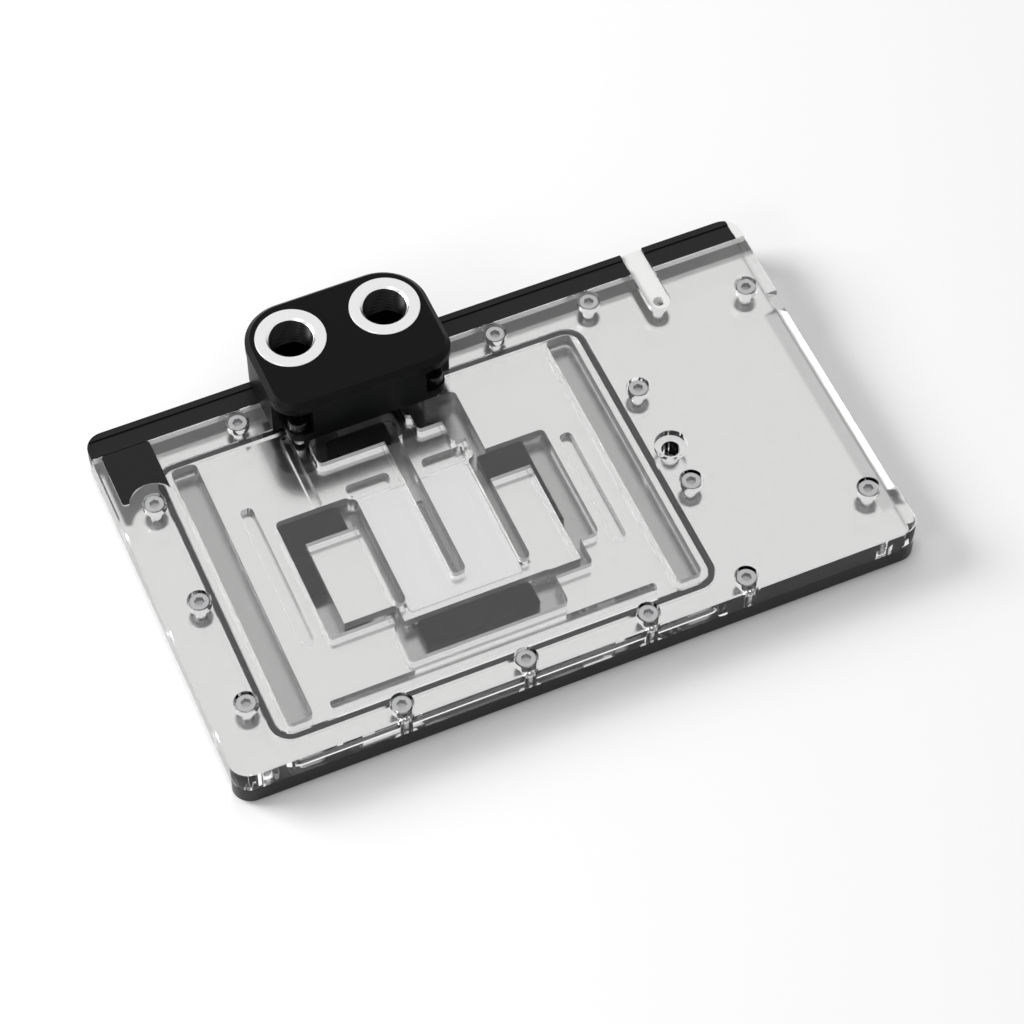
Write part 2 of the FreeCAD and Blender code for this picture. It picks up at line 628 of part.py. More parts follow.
def flow_guide_left():
    """L-shaped insert in the left channel."""
    x0, arm_front = -ARM_OUTER_X + FIT, ARM_BACK - ARM_DEPTH_Y + FIT
    back = ARM_BACK - FIT
    leg = x0 + LEFT_LEG_WIDTH - 2 * FIT
    points = [(x0, GUIDE_LEFT_LEG_END), (leg, GUIDE_LEFT_LEG_END), (leg, arm_front),
              (GUIDE_LEFT_END, arm_front), (GUIDE_LEFT_END, back), (x0, back)]
    radii = [0, 0, 0, CUTTER_R, CUTTER_R, CUTTER_R]
    return prism(points, radii, PLATE_TOP, PLATE_TOP + GUIDE_HEIGHT)


def flow_guide_right():
    """Insert in the right channel, with a thin wall down the inner side of the leg."""
    x0 = FIN_FIELD_LENGTH / 2 + COLLECTOR_WIDTH + FIT
    arm_front, back = ARM_BACK - ARM_DEPTH_Y + FIT, ARM_BACK - FIT
    leg = ARM_OUTER_X - RIGHT_LEG_WIDTH + FIT
    wall = leg + GUIDE_RIGHT_WALL
    points = [(x0, arm_front), (leg, arm_front), (leg, GUIDE_RIGHT_WALL_FRONT),
              (wall, GUIDE_RIGHT_WALL_FRONT), (wall, back), (x0, back)]
    return prism(points, [0] * 6, PLATE_TOP, PLATE_TOP + GUIDE_HEIGHT)


def inlet_guide():
    """Bar in the inlet pocket."""
    left, front = INLET_LEFT + GUIDE_INLET_FROM_LEFT, MANIFOLD_FRONT + FIT
    return slab(left, left + GUIDE_INLET_LENGTH, front, front + GUIDE_INLET_WIDTH, PLATE_TOP,
                PLATE_TOP + GUIDE_HEIGHT, CUTTER_R)


def outlet_guide():
    """Bar in the pocket in front of the fin field."""
    half = GUIDE_OUTLET_LENGTH / 2
    return slab(-half, half, OUTLET_BACK - GUIDE_OUTLET_WIDTH, OUTLET_BACK - FIT, PLATE_TOP,
                PLATE_TOP + GUIDE_HEIGHT, CUTTER_R)


def strip_cover(x0, x1):
    """Black L-section cover of the light strip, fluted along its top face."""
    bottom = TOP_FACE - STRIP_DEPTH
    front = BACK - STRIP_WIDTH + FIT
    span = slab(x0, x1, front, BACK + 1, bottom, TOP_FACE)
    body = block_slab(bottom, TOP_FACE).common(span)
    hollow = block_slab(bottom - 1, TOP_FACE - STRIP_WALL, STRIP_WALL).common(
        slab(x0 - 1, x1 + 1, front - 1, BACK, bottom - 1, TOP_FACE - STRIP_WALL))
    middle = (front + BACK) / 2
    flute = slab(LEFT + STRIP_WALL, RIGHT, middle - STRIP_FLUTE_WIDTH / 2,
                 middle + STRIP_FLUTE_WIDTH / 2, TOP_FACE - STRIP_FLUTE_DEPTH, TOP_FACE + 1)
    return body.cut([hollow, flute])


def light_cover_long():
    """Cover from the left corner to the wire notch."""
    return strip_cover(LEFT - 1, NOTCH_LEFT)


def light_cover_short():
    """Cover from the wire notch to the end cap."""
    return strip_cover(NOTCH_LEFT + NOTCH_WIDTH, RIGHT - END_CAP_LENGTH)


def light_end_cap():
    """White end of the light strip, with the block's corner radius."""
    bottom = TOP_FACE - STRIP_DEPTH
    span = slab(RIGHT - END_CAP_LENGTH + FIT, RIGHT + 1, BACK - STRIP_WIDTH + FIT, BACK + 1, bottom,
                TOP_FACE)
    return block_slab(bottom, TOP_FACE).common(span)


def cable_bridge():
    """White piece that fills the wire notch between the two covers."""
    bottom = TOP_FACE - STRIP_DEPTH + BOARD_THICKNESS
    wire_x, wire_y = wire_hole_place()
    body = notch(bottom, bottom + BRIDGE_THICKNESS, FIT)
    body = body.common(block_slab(bottom, TOP_FACE))
    mouth = rod(wire_x, wire_y, bottom - 1, TOP_FACE, WIRE_HOLE_R)
    return body.cut(mouth)


def led_board():
    """Lighting board on the floor of the rebate."""
    bottom = TOP_FACE - STRIP_DEPTH
    middle = BACK - STRIP_WALL - FIT - BOARD_WIDTH / 2
    return slab(LEFT + BOARD_END_GAP, RIGHT - END_CAP_LENGTH - BOARD_END_GAP,
                middle - BOARD_WIDTH / 2, middle + BOARD_WIDTH / 2, bottom,
                bottom + BOARD_THICKNESS)


def led_chips():
    """Small lamps along the board, clear of the wire notch."""
    bottom = TOP_FACE - STRIP_DEPTH + BOARD_THICKNESS
    middle = BACK - STRIP_WALL - FIT - BOARD_WIDTH / 2
    first = LEFT + BOARD_END_GAP + 2 * LED_SIZE
    last = NOTCH_LEFT - 2 * LED_SIZE
    pitch = (last - first) / (LED_COUNT - 1)
    half = LED_SIZE / 2
    chips = [slab(first + i * pitch - half, first + i * pitch + half, middle - half,
                  middle + half, bottom, bottom + LED_HEIGHT) for i in range(LED_COUNT)]
    return Part.makeCompound(chips)


def corner_plate():
    """Bare black plate, flush with the clear top."""
    return corner_plate_outline(TOP_FACE - CORNER_PLATE_THICKNESS, TOP_FACE, FIT)


def front_trim():
    """Black trim along the lower front edge."""
    return trim_band(0.0, PLATE_BOTTOM, PLATE_BOTTOM + TRIM_HEIGHT)


def cover_screws():
    """All screws of the clear top, as one group of separate solids."""
    head_bottom = TOP_FACE - HEAD_SINK - HEAD_HEIGHT
    tip = PLATE_BOTTOM + THREAD_FLOOR + FIT
    return Part.makeCompound([socket_screw(x, y, head_bottom, tip)
                              for x, y in cover_screw_places()])


def terminal_span(inset):
    """Plan limits of the terminal's cap, drawn in by an inset."""
    middle = LEFT + PORT_MID_X
    half = TERMINAL_LENGTH / 2 - inset
    return (middle - half, middle + half, BACK - TERMINAL_REACH + inset,
            BACK + TERMINAL_OVERHANG - inset)


def ring_seats():
    """Seats of both port rings through the cap and into the body."""
    top = TOP_FACE + TERMINAL_HEIGHT
    seats = []
    for x, y in port_places():
        seats.append(rod(x, y, top + RING_PROUD - RING_FLANGE, top + 1, RING_R + FIT))
        seats.append(rod(x, y, top + RING_PROUD - PORT_LENGTH, top + 1, RING_BARREL_R + FIT))
    return seats


def terminal_cap():
    """Cap plate of the terminal, chamfered along its upper edge."""
    x0, x1, y0, y1 = terminal_span(0)
    top = TOP_FACE + TERMINAL_HEIGHT
    radii = [CAP_FRONT_R, CAP_FRONT_R, TERMINAL_BACK_R, TERMINAL_BACK_R]
    cap = prism([(x0, y0), (x1, y0), (x1, y1), (x0, y1)], radii, top - CAP_THICKNESS, top)
    cap = cap.makeChamfer(CAP_EDGE, [e for e in cap.Edges if e.BoundBox.ZMin > top - 0.01])
    return cap.cut(ring_seats())


def lug_notches():
    """Corner notches that leave room for the terminal's screw heads."""
    x0, x1, y0, _ = terminal_span(0)
    bottom, top = TOP_FACE + LUG_HEIGHT, TOP_FACE + TERMINAL_HEIGHT
    radius = HEAD_R + LUG_HEAD_CLEARANCE
    return [slab(near, far, y0 - LUG_NOTCH_Y, y0 + LUG_NOTCH_Y, bottom, top, radius)
            for near, far in ((x0 - LUG_NOTCH_X, x0 + LUG_NOTCH_X),
                              (x1 - LUG_NOTCH_X, x1 + LUG_NOTCH_X))]


def lug_trims():
    """What is cut from the body's front corners to leave round lugs below the notches."""
    x0, x1, y0, _ = terminal_span(0)
    (left_x, lug_y), (right_x, _) = lug_places()
    radius = HEAD_R + LUG_HEAD_CLEARANCE
    bottom, top = TOP_FACE - 1, TOP_FACE + LUG_HEIGHT
    back = y0 + LUG_NOTCH_Y
    trims = []
    for outer, centre, side in ((x0, left_x, -1), (x1, right_x, 1)):
        block = slab(*sorted((outer + side, centre)), y0 - 1, back, bottom, top)
        lug = slab(*sorted((centre + side * radius, centre - side * radius)), lug_y - radius,
                   back + 1, bottom, top).cut(
            slab(*sorted((centre + side * radius, centre)), lug_y - radius, lug_y, bottom, top))
        trims.append(block.cut([lug, rod(centre, lug_y, bottom, top, radius)]))
    return trims


def terminal_body():
    """Two-port terminal: block, rear lip, lugs, port seats and inner passages."""
    x0, x1, y0, y1 = terminal_span(CAP_OVERHANG)
    top = TOP_FACE + TERMINAL_HEIGHT - CAP_THICKNESS
    back_r = TERMINAL_BACK_R - CAP_OVERHANG
    body = prism([(x0, y0), (x1, y0), (x1, y1), (x0, y1)], [0, 0, back_r, back_r], TOP_FACE, top)
    x0, x1, _, y1 = terminal_span(CAP_OVERHANG + LIP_INSET)
    lip_r = back_r - LIP_INSET
    lip = slab(x0, x1, BACK + LIP_CLEARANCE - TERMINAL_BACK_R, y1, TOP_FACE - LIP_DEPTH,
               TOP_FACE + 1, lip_r)
    lip = lip.cut(slab(LEFT, RIGHT, FRONT, BACK + LIP_CLEARANCE, 0, top))
    cuts = lug_notches() + lug_trims() + ring_seats()
    for x, y in lug_places():
        cuts.append(rod(x, y, TOP_FACE - 1, top, SCREW_R + HOLE_CLEARANCE))
    barrel_bottom = TOP_FACE + TERMINAL_HEIGHT + RING_PROUD - PORT_LENGTH
    level = TOP_FACE + PASSAGE_RISE
    for (port_x, port_y), (x, y) in zip(port_places(), flow_places()):
        cuts.append(rod(port_x, port_y, level - PASSAGE_R, barrel_bottom + 1, PORT_CAVITY_R))
        cuts.append(Part.makeCylinder(PASSAGE_R, port_y - y, Vector(x, y, level),
                                      Vector(0, 1, 0)))
        cuts.append(rod(x, y, TOP_FACE - 1, level + PASSAGE_R, FLOW_HOLE_R))
        seal_r = SEAL_INNER_R + SEAL_WIDTH
        cuts.append(rod(x, y, TOP_FACE - 1, TOP_FACE + SEAL_HEIGHT, seal_r + FIT).cut(
            rod(x, y, TOP_FACE - 2, TOP_FACE + SEAL_HEIGHT, SEAL_INNER_R - FIT)))
    return body.fuse(lip).removeSplitter().cut(cuts)


def port_ring(place):
    """Plated insert with a flange, a barrel and the G1/4 bore."""
    x, y = place
    top = TOP_FACE + TERMINAL_HEIGHT + RING_PROUD
    profile = [(PORT_R, top - PORT_LENGTH), (RING_BARREL_R, top - PORT_LENGTH),
               (RING_BARREL_R, top - RING_FLANGE), (RING_R, top - RING_FLANGE),
               (RING_R, top - RING_EDGE), (RING_R - RING_EDGE, top), (PORT_R + PORT_CHAMFER, top),
               (PORT_R, top - PORT_CHAMFER)]
    points = [Vector(r, 0, z) for r, z in profile]
    face = Part.Face(Part.makePolygon(points + points[:1]))
    ring = face.revolve(Vector(0, 0, 0), Vector(0, 0, 1), 360)
    ring.translate(Vector(x, y, 0))
    return ring


def terminal_seal(place):
    """O-ring of one flow hole, as it sits squeezed."""
    x, y = place
    ring = rod(x, y, TOP_FACE, TOP_FACE + SEAL_HEIGHT, SEAL_INNER_R + SEAL_WIDTH).cut(
        rod(x, y, TOP_FACE - 1, TOP_FACE + SEAL_HEIGHT + 1, SEAL_INNER_R))
    return ring.makeChamfer(SEAL_EDGE, [e for e in ring.Edges if e.BoundBox.ZLength < 1e-6])


def terminal_screws():
    """The two screws of the terminal's lugs."""
    head_bottom = TOP_FACE + LUG_HEIGHT
    tip = TOP_FACE - LUG_THREAD_DEPTH + FIT
    return Part.makeCompound([socket_screw(x, y, head_bottom, tip) for x, y in lug_places()])


def build():
    """Every node of the part by name."""
    ports, flows = port_places(), flow_places()
    return {
        "cold_plate": cold_plate(),
        "clear_top": clear_top(),
        "jet_plate": jet_plate(),
        "main_o_ring": main_o_ring(),
        "flow_guide_left": flow_guide_left(),
        "flow_guide_right": flow_guide_right(),
        "inlet_guide": inlet_guide(),
        "outlet_guide": outlet_guide(),
        "cover_screws": cover_screws(),
        "front_trim": front_trim(),
        "corner_plate": corner_plate(),
        "light_cover_long": light_cover_long(),
        "light_cover_short": light_cover_short(),
        "light_end_cap": light_end_cap(),
        "cable_bridge": cable_bridge(),
        "led_board": led_board(),
        "led_chips": led_chips(),
        "terminal_body": terminal_body(),
        "terminal_cap": terminal_cap(),
        "port_ring_left": port_ring(ports[0]),
        "port_ring_right": port_ring(ports[1]),
        "terminal_seal_left": terminal_seal(flows[0]),
        "terminal_seal_right": terminal_seal(flows[1]),
        "terminal_screws": terminal_screws(),
    }


def main():
    """Write one STEP file for each node."""
    os.makedirs("parts", exist_ok=True)
    for name, shape in build().items():
        shape.exportStep(os.path.join("parts", name + ".step"))
        box = shape.BoundBox
        print(f"{name:20s} solids {len(shape.Solids):2d}  valid {shape.isValid()}  "
              f"{box.XLength:6.1f} x {box.YLength:6.1f} x {box.ZLength:5.1f}")


main()
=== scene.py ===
"""Dresses the liquid cooling cold plate: plated copper, clear acrylic, black acetal, lit softly."""

import logging
import math
from dataclasses import dataclass
from enum import Enum
from typing import Optional, Sequence, Union

import bpy
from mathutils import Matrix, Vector

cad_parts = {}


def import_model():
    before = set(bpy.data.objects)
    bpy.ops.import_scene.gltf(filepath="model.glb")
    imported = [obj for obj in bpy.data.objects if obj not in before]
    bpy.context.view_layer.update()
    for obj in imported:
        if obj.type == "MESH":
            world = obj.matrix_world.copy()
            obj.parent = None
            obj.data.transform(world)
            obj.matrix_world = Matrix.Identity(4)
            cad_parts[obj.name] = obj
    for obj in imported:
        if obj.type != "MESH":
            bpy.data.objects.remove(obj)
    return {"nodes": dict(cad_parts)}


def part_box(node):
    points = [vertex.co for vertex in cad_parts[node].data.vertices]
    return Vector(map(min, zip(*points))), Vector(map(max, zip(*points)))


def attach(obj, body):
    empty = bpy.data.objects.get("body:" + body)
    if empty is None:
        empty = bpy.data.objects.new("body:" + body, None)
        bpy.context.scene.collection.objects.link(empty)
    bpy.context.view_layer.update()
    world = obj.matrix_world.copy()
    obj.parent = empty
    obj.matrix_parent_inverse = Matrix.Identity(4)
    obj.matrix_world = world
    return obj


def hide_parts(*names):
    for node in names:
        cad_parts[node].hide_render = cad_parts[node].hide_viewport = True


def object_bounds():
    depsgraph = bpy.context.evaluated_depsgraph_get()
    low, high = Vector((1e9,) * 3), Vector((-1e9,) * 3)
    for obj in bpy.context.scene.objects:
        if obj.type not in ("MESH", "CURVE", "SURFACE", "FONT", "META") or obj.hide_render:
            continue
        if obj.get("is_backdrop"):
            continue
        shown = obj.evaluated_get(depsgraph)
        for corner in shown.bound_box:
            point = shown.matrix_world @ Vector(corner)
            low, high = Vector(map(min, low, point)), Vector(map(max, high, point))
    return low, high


log = logging.getLogger("cold_plate")

Colour = tuple[float, float, float]
Value = Union[bpy.types.NodeSocket, float]

# Relief and gloss of the opaque finishes.
BRUSHED_STRETCH = 0.03
RELIEF_STRENGTH = 0.6
RELIEF_DETAIL = 4.0
SMALLEST_ROUGHNESS = 0.02
RINGS_PER_CELL = 0.35
RING_WOBBLE = 0.2

# Marks and cutter passes of the clear plastic, as shares of their noise and wave.
SMUDGE_DETAIL = 2.0
SMUDGE_FROM = 0.5
SMUDGE_FULL = 0.8
WAVES_PER_PASS = 0.16
PASS_WOBBLE = 0.3
STREAK_FLOOR = 0.96

# Upward part of a normal below which a face counts as a wall, and above which it is level.
WALL_RISE = 0.3
LEVEL_RISE = 0.7
BEVEL_MARGIN = 0.06

# Points closer than this, in metres, are one point.
WELD = 0.000001


class Pattern(Enum):
    """How the fine relief of a finish is laid out."""

    GRAIN = "grain"
    BRUSHED_Y = "brushed_y"
    TURNED = "turned"


@dataclass(frozen=True)
class Finish:
    """An opaque finish with a little tone and gloss variation and a fine relief.

    Args:
        name: Material name.
        colour: Linear base colour.
        metallic: 1 for metal, 0 for plastic and rubber.
        roughness: Middle roughness.
        tone: Share by which the base colour varies.
        gloss: Amount by which the roughness varies.
        scale: Size of one cell of the variation, in metres.
        relief: Bump height in metres.
        pattern: Layout of the relief.
        specular: Strength of the mirror-like part on plastic and rubber, 0.5 for a plain surface.
    """

    name: str
    colour: Colour
    metallic: float = 0.0
    roughness: float = 0.5
    tone: float = 0.06
    gloss: float = 0.05
    scale: float = 0.004
    relief: float = 0.00001
    pattern: Pattern = Pattern.GRAIN
    specular: float = 0.5

    def stretch(self) -> Vector:
        """Scale of the pattern coordinates along each axis.

        Returns:
            One factor for each axis.
        """
        fine = 1.0 / self.scale
        along = fine * BRUSHED_STRETCH if self.pattern is Pattern.BRUSHED_Y else fine
        return Vector((fine, along, fine))

    def material(self, centre: Optional[Vector] = None) -> bpy.types.Material:
        """Builds the node material.

        Args:
            centre: Middle of a turned pattern, in object coordinates.

        Returns:
            The new material.
        """
        made = bpy.data.materials.new(self.name)
        made.use_nodes = True
        tree = made.node_tree
        shader = tree.nodes["Principled BSDF"]
        shader.inputs["Metallic"].default_value = self.metallic
        shader.inputs["Specular IOR Level"].default_value = self.specular
        place = tree.nodes.new("ShaderNodeTexCoord")
        mapping = tree.nodes.new("ShaderNodeMapping")
        mapping.inputs["Scale"].default_value = self.stretch()
        tree.links.new(place.outputs["Object"], mapping.inputs["Vector"])
        noise = tree.nodes.new("ShaderNodeTexNoise")
        noise.inputs["Scale"].default_value = 1.0
        noise.inputs["Detail"].default_value = RELIEF_DETAIL
        tree.links.new(mapping.outputs["Vector"], noise.inputs["Vector"])
        tone = tree.nodes.new("ShaderNodeMix")
        tone.data_type = "RGBA"
        low = tuple(c * (1.0 - self.tone) for c in self.colour)
        high = tuple(min(1.0, c * (1.0 + self.tone)) for c in self.colour)
        tone.inputs["A"].default_value = (*low, 1.0)
        tone.inputs["B"].default_value = (*high, 1.0)
        tree.links.new(noise.outputs["Fac"], tone.inputs["Factor"])
        tree.links.new(tone.outputs["Result"], shader.inputs["Base Color"])
        gloss = tree.nodes.new("ShaderNodeMapRange")
        gloss.inputs["To Min"].default_value = max(SMALLEST_ROUGHNESS,
                                                   self.roughness - self.gloss)
        gloss.inputs["To Max"].default_value = min(1.0, self.roughness + self.gloss)
        tree.links.new(noise.outputs["Fac"], gloss.inputs["Value"])
        tree.links.new(gloss.outputs["Result"], shader.inputs["Roughness"])
        bump = tree.nodes.new("ShaderNodeBump")
        bump.inputs["Distance"].default_value = self.relief
        bump.inputs["Strength"].default_value = RELIEF_STRENGTH
        height = self._relief_height(tree, place, noise, centre)
        tree.links.new(height, bump.inputs["Height"])
        tree.links.new(bump.outputs["Normal"], shader.inputs["Normal"])
        return made

    def _relief_height(self, tree: bpy.types.NodeTree, place: bpy.types.Node,
                       noise: bpy.types.Node, centre: Optional[Vector]) -> bpy.types.NodeSocket:
        """Socket that carries the relief height.

        Args:
            tree: The material's node tree.
            place: Its texture coordinate node.
            noise: The noise node that the tone reads.
            centre: Middle of a turned pattern.

        Returns:
            An output socket.
        """
        if self.pattern is not Pattern.TURNED or centre is None:
            return noise.outputs["Fac"]
        shift = tree.nodes.new("ShaderNodeMapping")
        shift.inputs["Location"].default_value = -centre
        tree.links.new(place.outputs["Object"], shift.inputs["Vector"])
        rings = tree.nodes.new("ShaderNodeTexWave")
        rings.wave_type = "RINGS"
        rings.rings_direction = "Z"
        rings.inputs["Scale"].default_value = RINGS_PER_CELL / self.scale
        rings.inputs["Distortion"].default_value = RING_WOBBLE
        tree.links.new(shift.outputs["Vector"], rings.inputs["Vector"])
        return rings.outputs["Fac"]


def maths(tree: bpy.types.NodeTree, operation: str, *values: Value) -> bpy.types.NodeSocket:
    """Output of a maths node.

    Args:
        tree: The node tree.
        operation: The node's operation.
        values: Its inputs, each a socket or a number.

    Returns:
        The result's socket.
    """
    node = tree.nodes.new("ShaderNodeMath")
    node.operation = operation
    for place, value in enumerate(values):
        if isinstance(value, bpy.types.NodeSocket):
            tree.links.new(value, node.inputs[place])
        else:
            node.inputs[place].default_value = value
    return node.outputs["Value"]


def ramp(tree: bpy.types.NodeTree, value: bpy.types.NodeSocket, start: tuple[float, float],
         end: tuple[float, float]) -> bpy.types.NodeSocket:
    """Output that goes from one number to another as a value goes between two others.

    Args:
        tree: The node tree.
        value: The value that is read.
        start: The value where the change starts, and the number there.
        end: The value where it ends, and the number there.

    Returns:
        The result's socket.
    """
    node = tree.nodes.new("ShaderNodeMapRange")
    node.inputs["From Min"].default_value, node.inputs["To Min"].default_value = start
    node.inputs["From Max"].default_value, node.inputs["To Max"].default_value = end
    tree.links.new(value, node.inputs["Value"])
    return node.outputs["Result"]


@dataclass(frozen=True)
class Space:
    """A box in the part's frame."""

    low: Vector
    high: Vector


@dataclass(frozen=True)
class ClearFinish:
    """Clear solid plastic: polished outside, dull and darkened with painted shade where milled,
    pale where pieces are bonded.

    Args:
        name: Material name.
        ior: Refractive index.
        roughness: Roughness of the polished faces.
        smudge: Roughness added by faint handling marks.
        scale: Size of one mark, in metres.
        milled_roughness: Roughness of the pockets' floors and walls.
        wall_shade: Tone of a milled wall, painted shade that is darker than on a floor.
        floor_shade: Tone of a milled floor, painted shade.
        wall_body: Share of a milled wall that scatters instead of letting light through.
        cutter_pitch: Distance between two passes of the cutter, in metres.
        bevel_shade: Tone of the sloped edge, painted shade that darkens the light it lets through.
        bevel_rise: Upward part of the sloped edge's normal.
        bond_tint: Tone of a bonded face.
        bond_body: Share of a bonded face that scatters.
    """

    name: str
    ior: float = 1.49
    roughness: float = 0.0
    smudge: float = 0.03
    scale: float = 0.03
    milled_roughness: float = 0.22
    wall_shade: float = 0.36
    floor_shade: float = 0.60
    wall_body: float = 0.6
    cutter_pitch: float = 0.0006
    bevel_shade: float = 0.62
    bevel_rise: float = 0.83
    bond_tint: float = 0.80
    bond_body: float = 0.8

    def material(self, pockets: Space, bonds: Sequence[Space]) -> bpy.types.Material:
        """Builds the node material.

        Args:
            pockets: The space that holds the milled pockets.
            bonds: The spaces whose faces carry a bonded piece.

        Returns:
            The new material.
        """
        made = bpy.data.materials.new(self.name)
        made.use_nodes = True
        tree = made.node_tree
        shader = tree.nodes["Principled BSDF"]
        shader.inputs["IOR"].default_value = self.ior
        place = tree.nodes.new("ShaderNodeTexCoord").outputs["Object"]
        upright = self._upright(tree)
        milled = self._inside(tree, place, pockets)
        bonded = self._inside(tree, place, bonds[0])
        for space in bonds[1:]:
            bonded = maths(tree, "MAXIMUM", bonded, self._inside(tree, place, space))
        noise = tree.nodes.new("ShaderNodeTexNoise")
        noise.inputs["Scale"].default_value = 1.0 / self.scale
        noise.inputs["Detail"].default_value = SMUDGE_DETAIL
        tree.links.new(place, noise.inputs["Vector"])
        marks = ramp(tree, noise.outputs["Fac"], (SMUDGE_FROM, self.roughness),
                     (SMUDGE_FULL, self.roughness + self.smudge))
        dull = maths(tree, "MULTIPLY", milled, self.milled_roughness)
        tree.links.new(maths(tree, "MAXIMUM", marks, dull), shader.inputs["Roughness"])
        steep = ramp(tree, upright, (WALL_RISE, 1.0), (LEVEL_RISE, 0.0))
        wall = maths(tree, "MULTIPLY", milled, steep)
        body = maths(tree, "MAXIMUM", maths(tree, "MULTIPLY", wall, self.wall_body),
                     maths(tree, "MULTIPLY", bonded, self.bond_body))
        tree.links.new(maths(tree, "SUBTRACT", 1.0, body), shader.inputs["Transmission Weight"])
        # Painted shade: the sloped edge and the pockets' faces get darker tones, with walls darker
        # than floors.
        outer = self._bevel_shade(tree, upright)
        inner = self._milled_shade(tree, place, upright)
        tone = self._blend(tree, milled, outer, inner)
        tree.links.new(self._blend(tree, bonded, tone, self.bond_tint),
                       shader.inputs["Base Color"])
        return made

    @staticmethod
    def _blend(tree: bpy.types.NodeTree, share: bpy.types.NodeSocket, first: Value,
               second: Value) -> bpy.types.NodeSocket:
        """Socket that goes from a first number to a second as a share goes from 0 to 1.

        Args:
            tree: The material's node tree.
            share: The share.
            first: A socket or a number.
            second: A socket or a number.

        Returns:
            An output socket.
        """
        rest = maths(tree, "MULTIPLY", first, maths(tree, "SUBTRACT", 1.0, share))
        return maths(tree, "ADD", rest, maths(tree, "MULTIPLY", second, share))

    @staticmethod
    def _inside(tree: bpy.types.NodeTree, place: bpy.types.NodeSocket,
                space: Space) -> bpy.types.NodeSocket:
        """Socket that is 1 inside a box and 0 outside it.

        Args:
            tree: The material's node tree.
            place: Object coordinates.
            space: The box.

        Returns:
            An output socket.
        """
        parts = tree.nodes.new("ShaderNodeSeparateXYZ")
        tree.links.new(place, parts.inputs["Vector"])
        result = None
        for axis, low, high in zip("XYZ", space.low, space.high):
            within = maths(tree, "COMPARE", parts.outputs[axis], (low + high) / 2,
                           (high - low) / 2)
            result = within if result is None else maths(tree, "MULTIPLY", result, within)
        return result

    @staticmethod
    def _upright(tree: bpy.types.NodeTree) -> bpy.types.NodeSocket:
        """Socket that is 1 on level faces and 0 on upright ones.

        Args:
            tree: The material's node tree.

        Returns:
            An output socket.
        """
        facing = tree.nodes.new("ShaderNodeNewGeometry")
        parts = tree.nodes.new("ShaderNodeSeparateXYZ")
        tree.links.new(facing.outputs["Normal"], parts.inputs["Vector"])
        return maths(tree, "ABSOLUTE", parts.outputs["Z"])

    def _bevel_shade(self, tree: bpy.types.NodeTree,
                    upright: bpy.types.NodeSocket) -> bpy.types.NodeSocket:
        """Socket with the tone of the outer faces: painted shade that only the sloped edge takes.

        Args:
            tree: The material's node tree.
            upright: The upward part of the face's normal.

        Returns:
            An output socket.
        """
        # Painted shade on the sloped edge only.
        sloped = maths(tree, "COMPARE", upright, self.bevel_rise, BEVEL_MARGIN)
        return ramp(tree, sloped, (0.0, 1.0), (1.0, self.bevel_shade))

    def _milled_shade(self, tree: bpy.types.NodeTree, place: bpy.types.NodeSocket,
                     upright: bpy.types.NodeSocket) -> bpy.types.NodeSocket:
        """Socket with the tone of a pocket's face: painted shade, darker on walls than on floors,
        streaked by the cutter.

        Args:
            tree: The material's node tree.
            place: Object coordinates.
            upright: The upward part of the face's normal.

        Returns:
            An output socket.
        """
        passes = tree.nodes.new("ShaderNodeTexWave")
        passes.inputs["Scale"].default_value = WAVES_PER_PASS / self.cutter_pitch
        passes.inputs["Distortion"].default_value = PASS_WOBBLE
        tree.links.new(place, passes.inputs["Vector"])
        streak = ramp(tree, passes.outputs["Fac"], (0.0, STREAK_FLOOR), (1.0, 1.0))
        # Painted shade: walls darker than floors.
        tone = ramp(tree, upright, (WALL_RISE, self.wall_shade), (LEVEL_RISE, self.floor_shade))
        return maths(tree, "MULTIPLY", tone, streak)


NICKEL = Finish("satin_nickel", (0.71, 0.71, 0.705), metallic=1.0, roughness=0.20, tone=0.02,
                gloss=0.03, scale=0.0035, relief=0.000002)
ACETAL = Finish("black_acetal", (0.0025, 0.0025, 0.0027), roughness=0.40, tone=0.15, gloss=0.06,
                scale=0.0012, relief=0.00003, specular=0.09)
COVER = Finish("black_cover", (0.006, 0.006, 0.0065), roughness=0.34, tone=0.12, gloss=0.05,
               scale=0.0015, relief=0.00002, specular=0.22)
RUBBER = Finish("gasket_rubber", (0.005, 0.005, 0.005), roughness=0.6, tone=0.15, gloss=0.05,
                scale=0.001, relief=0.00002, specular=0.12)
STEEL = Finish("screw_steel", (0.46, 0.46, 0.465), metallic=1.0, roughness=0.30, tone=0.08,
               gloss=0.05, scale=0.0008, relief=0.000004)
BLACKENED = Finish("blackened_steel", (0.035, 0.035, 0.037), metallic=1.0, roughness=0.34,
                   tone=0.1, gloss=0.05, scale=0.0008, relief=0.000004)
# Painted shade: a near-black finish on the port rings' threaded walls, in place of their plating,
# stands for the shade deep in the bores.
BORE_SHADE = Finish("painted_bore_shade", (0.005, 0.005, 0.0052), roughness=0.30, tone=0.1, gloss=0.05,
              scale=0.0008, relief=0.000004, specular=0.15)
JET = Finish("jet_steel", (0.78, 0.78, 0.78), metallic=1.0, roughness=0.3, tone=0.04, gloss=0.05,
             scale=0.0006, relief=0.000002, pattern=Pattern.BRUSHED_Y)
RING = Finish("plated_ring", (0.80, 0.80, 0.80), metallic=1.0, roughness=0.25, tone=0.03,
              gloss=0.04, scale=0.0009, relief=0.000004, pattern=Pattern.TURNED)
WHITE = Finish("white_plastic", (0.82, 0.82, 0.81), roughness=0.45, tone=0.03, gloss=0.05,
               scale=0.0015, relief=0.00002)
BOARD = Finish("board_mask", (0.012, 0.013, 0.012), roughness=0.35, tone=0.1, gloss=0.05,
               scale=0.0015, relief=0.00001, specular=0.25)
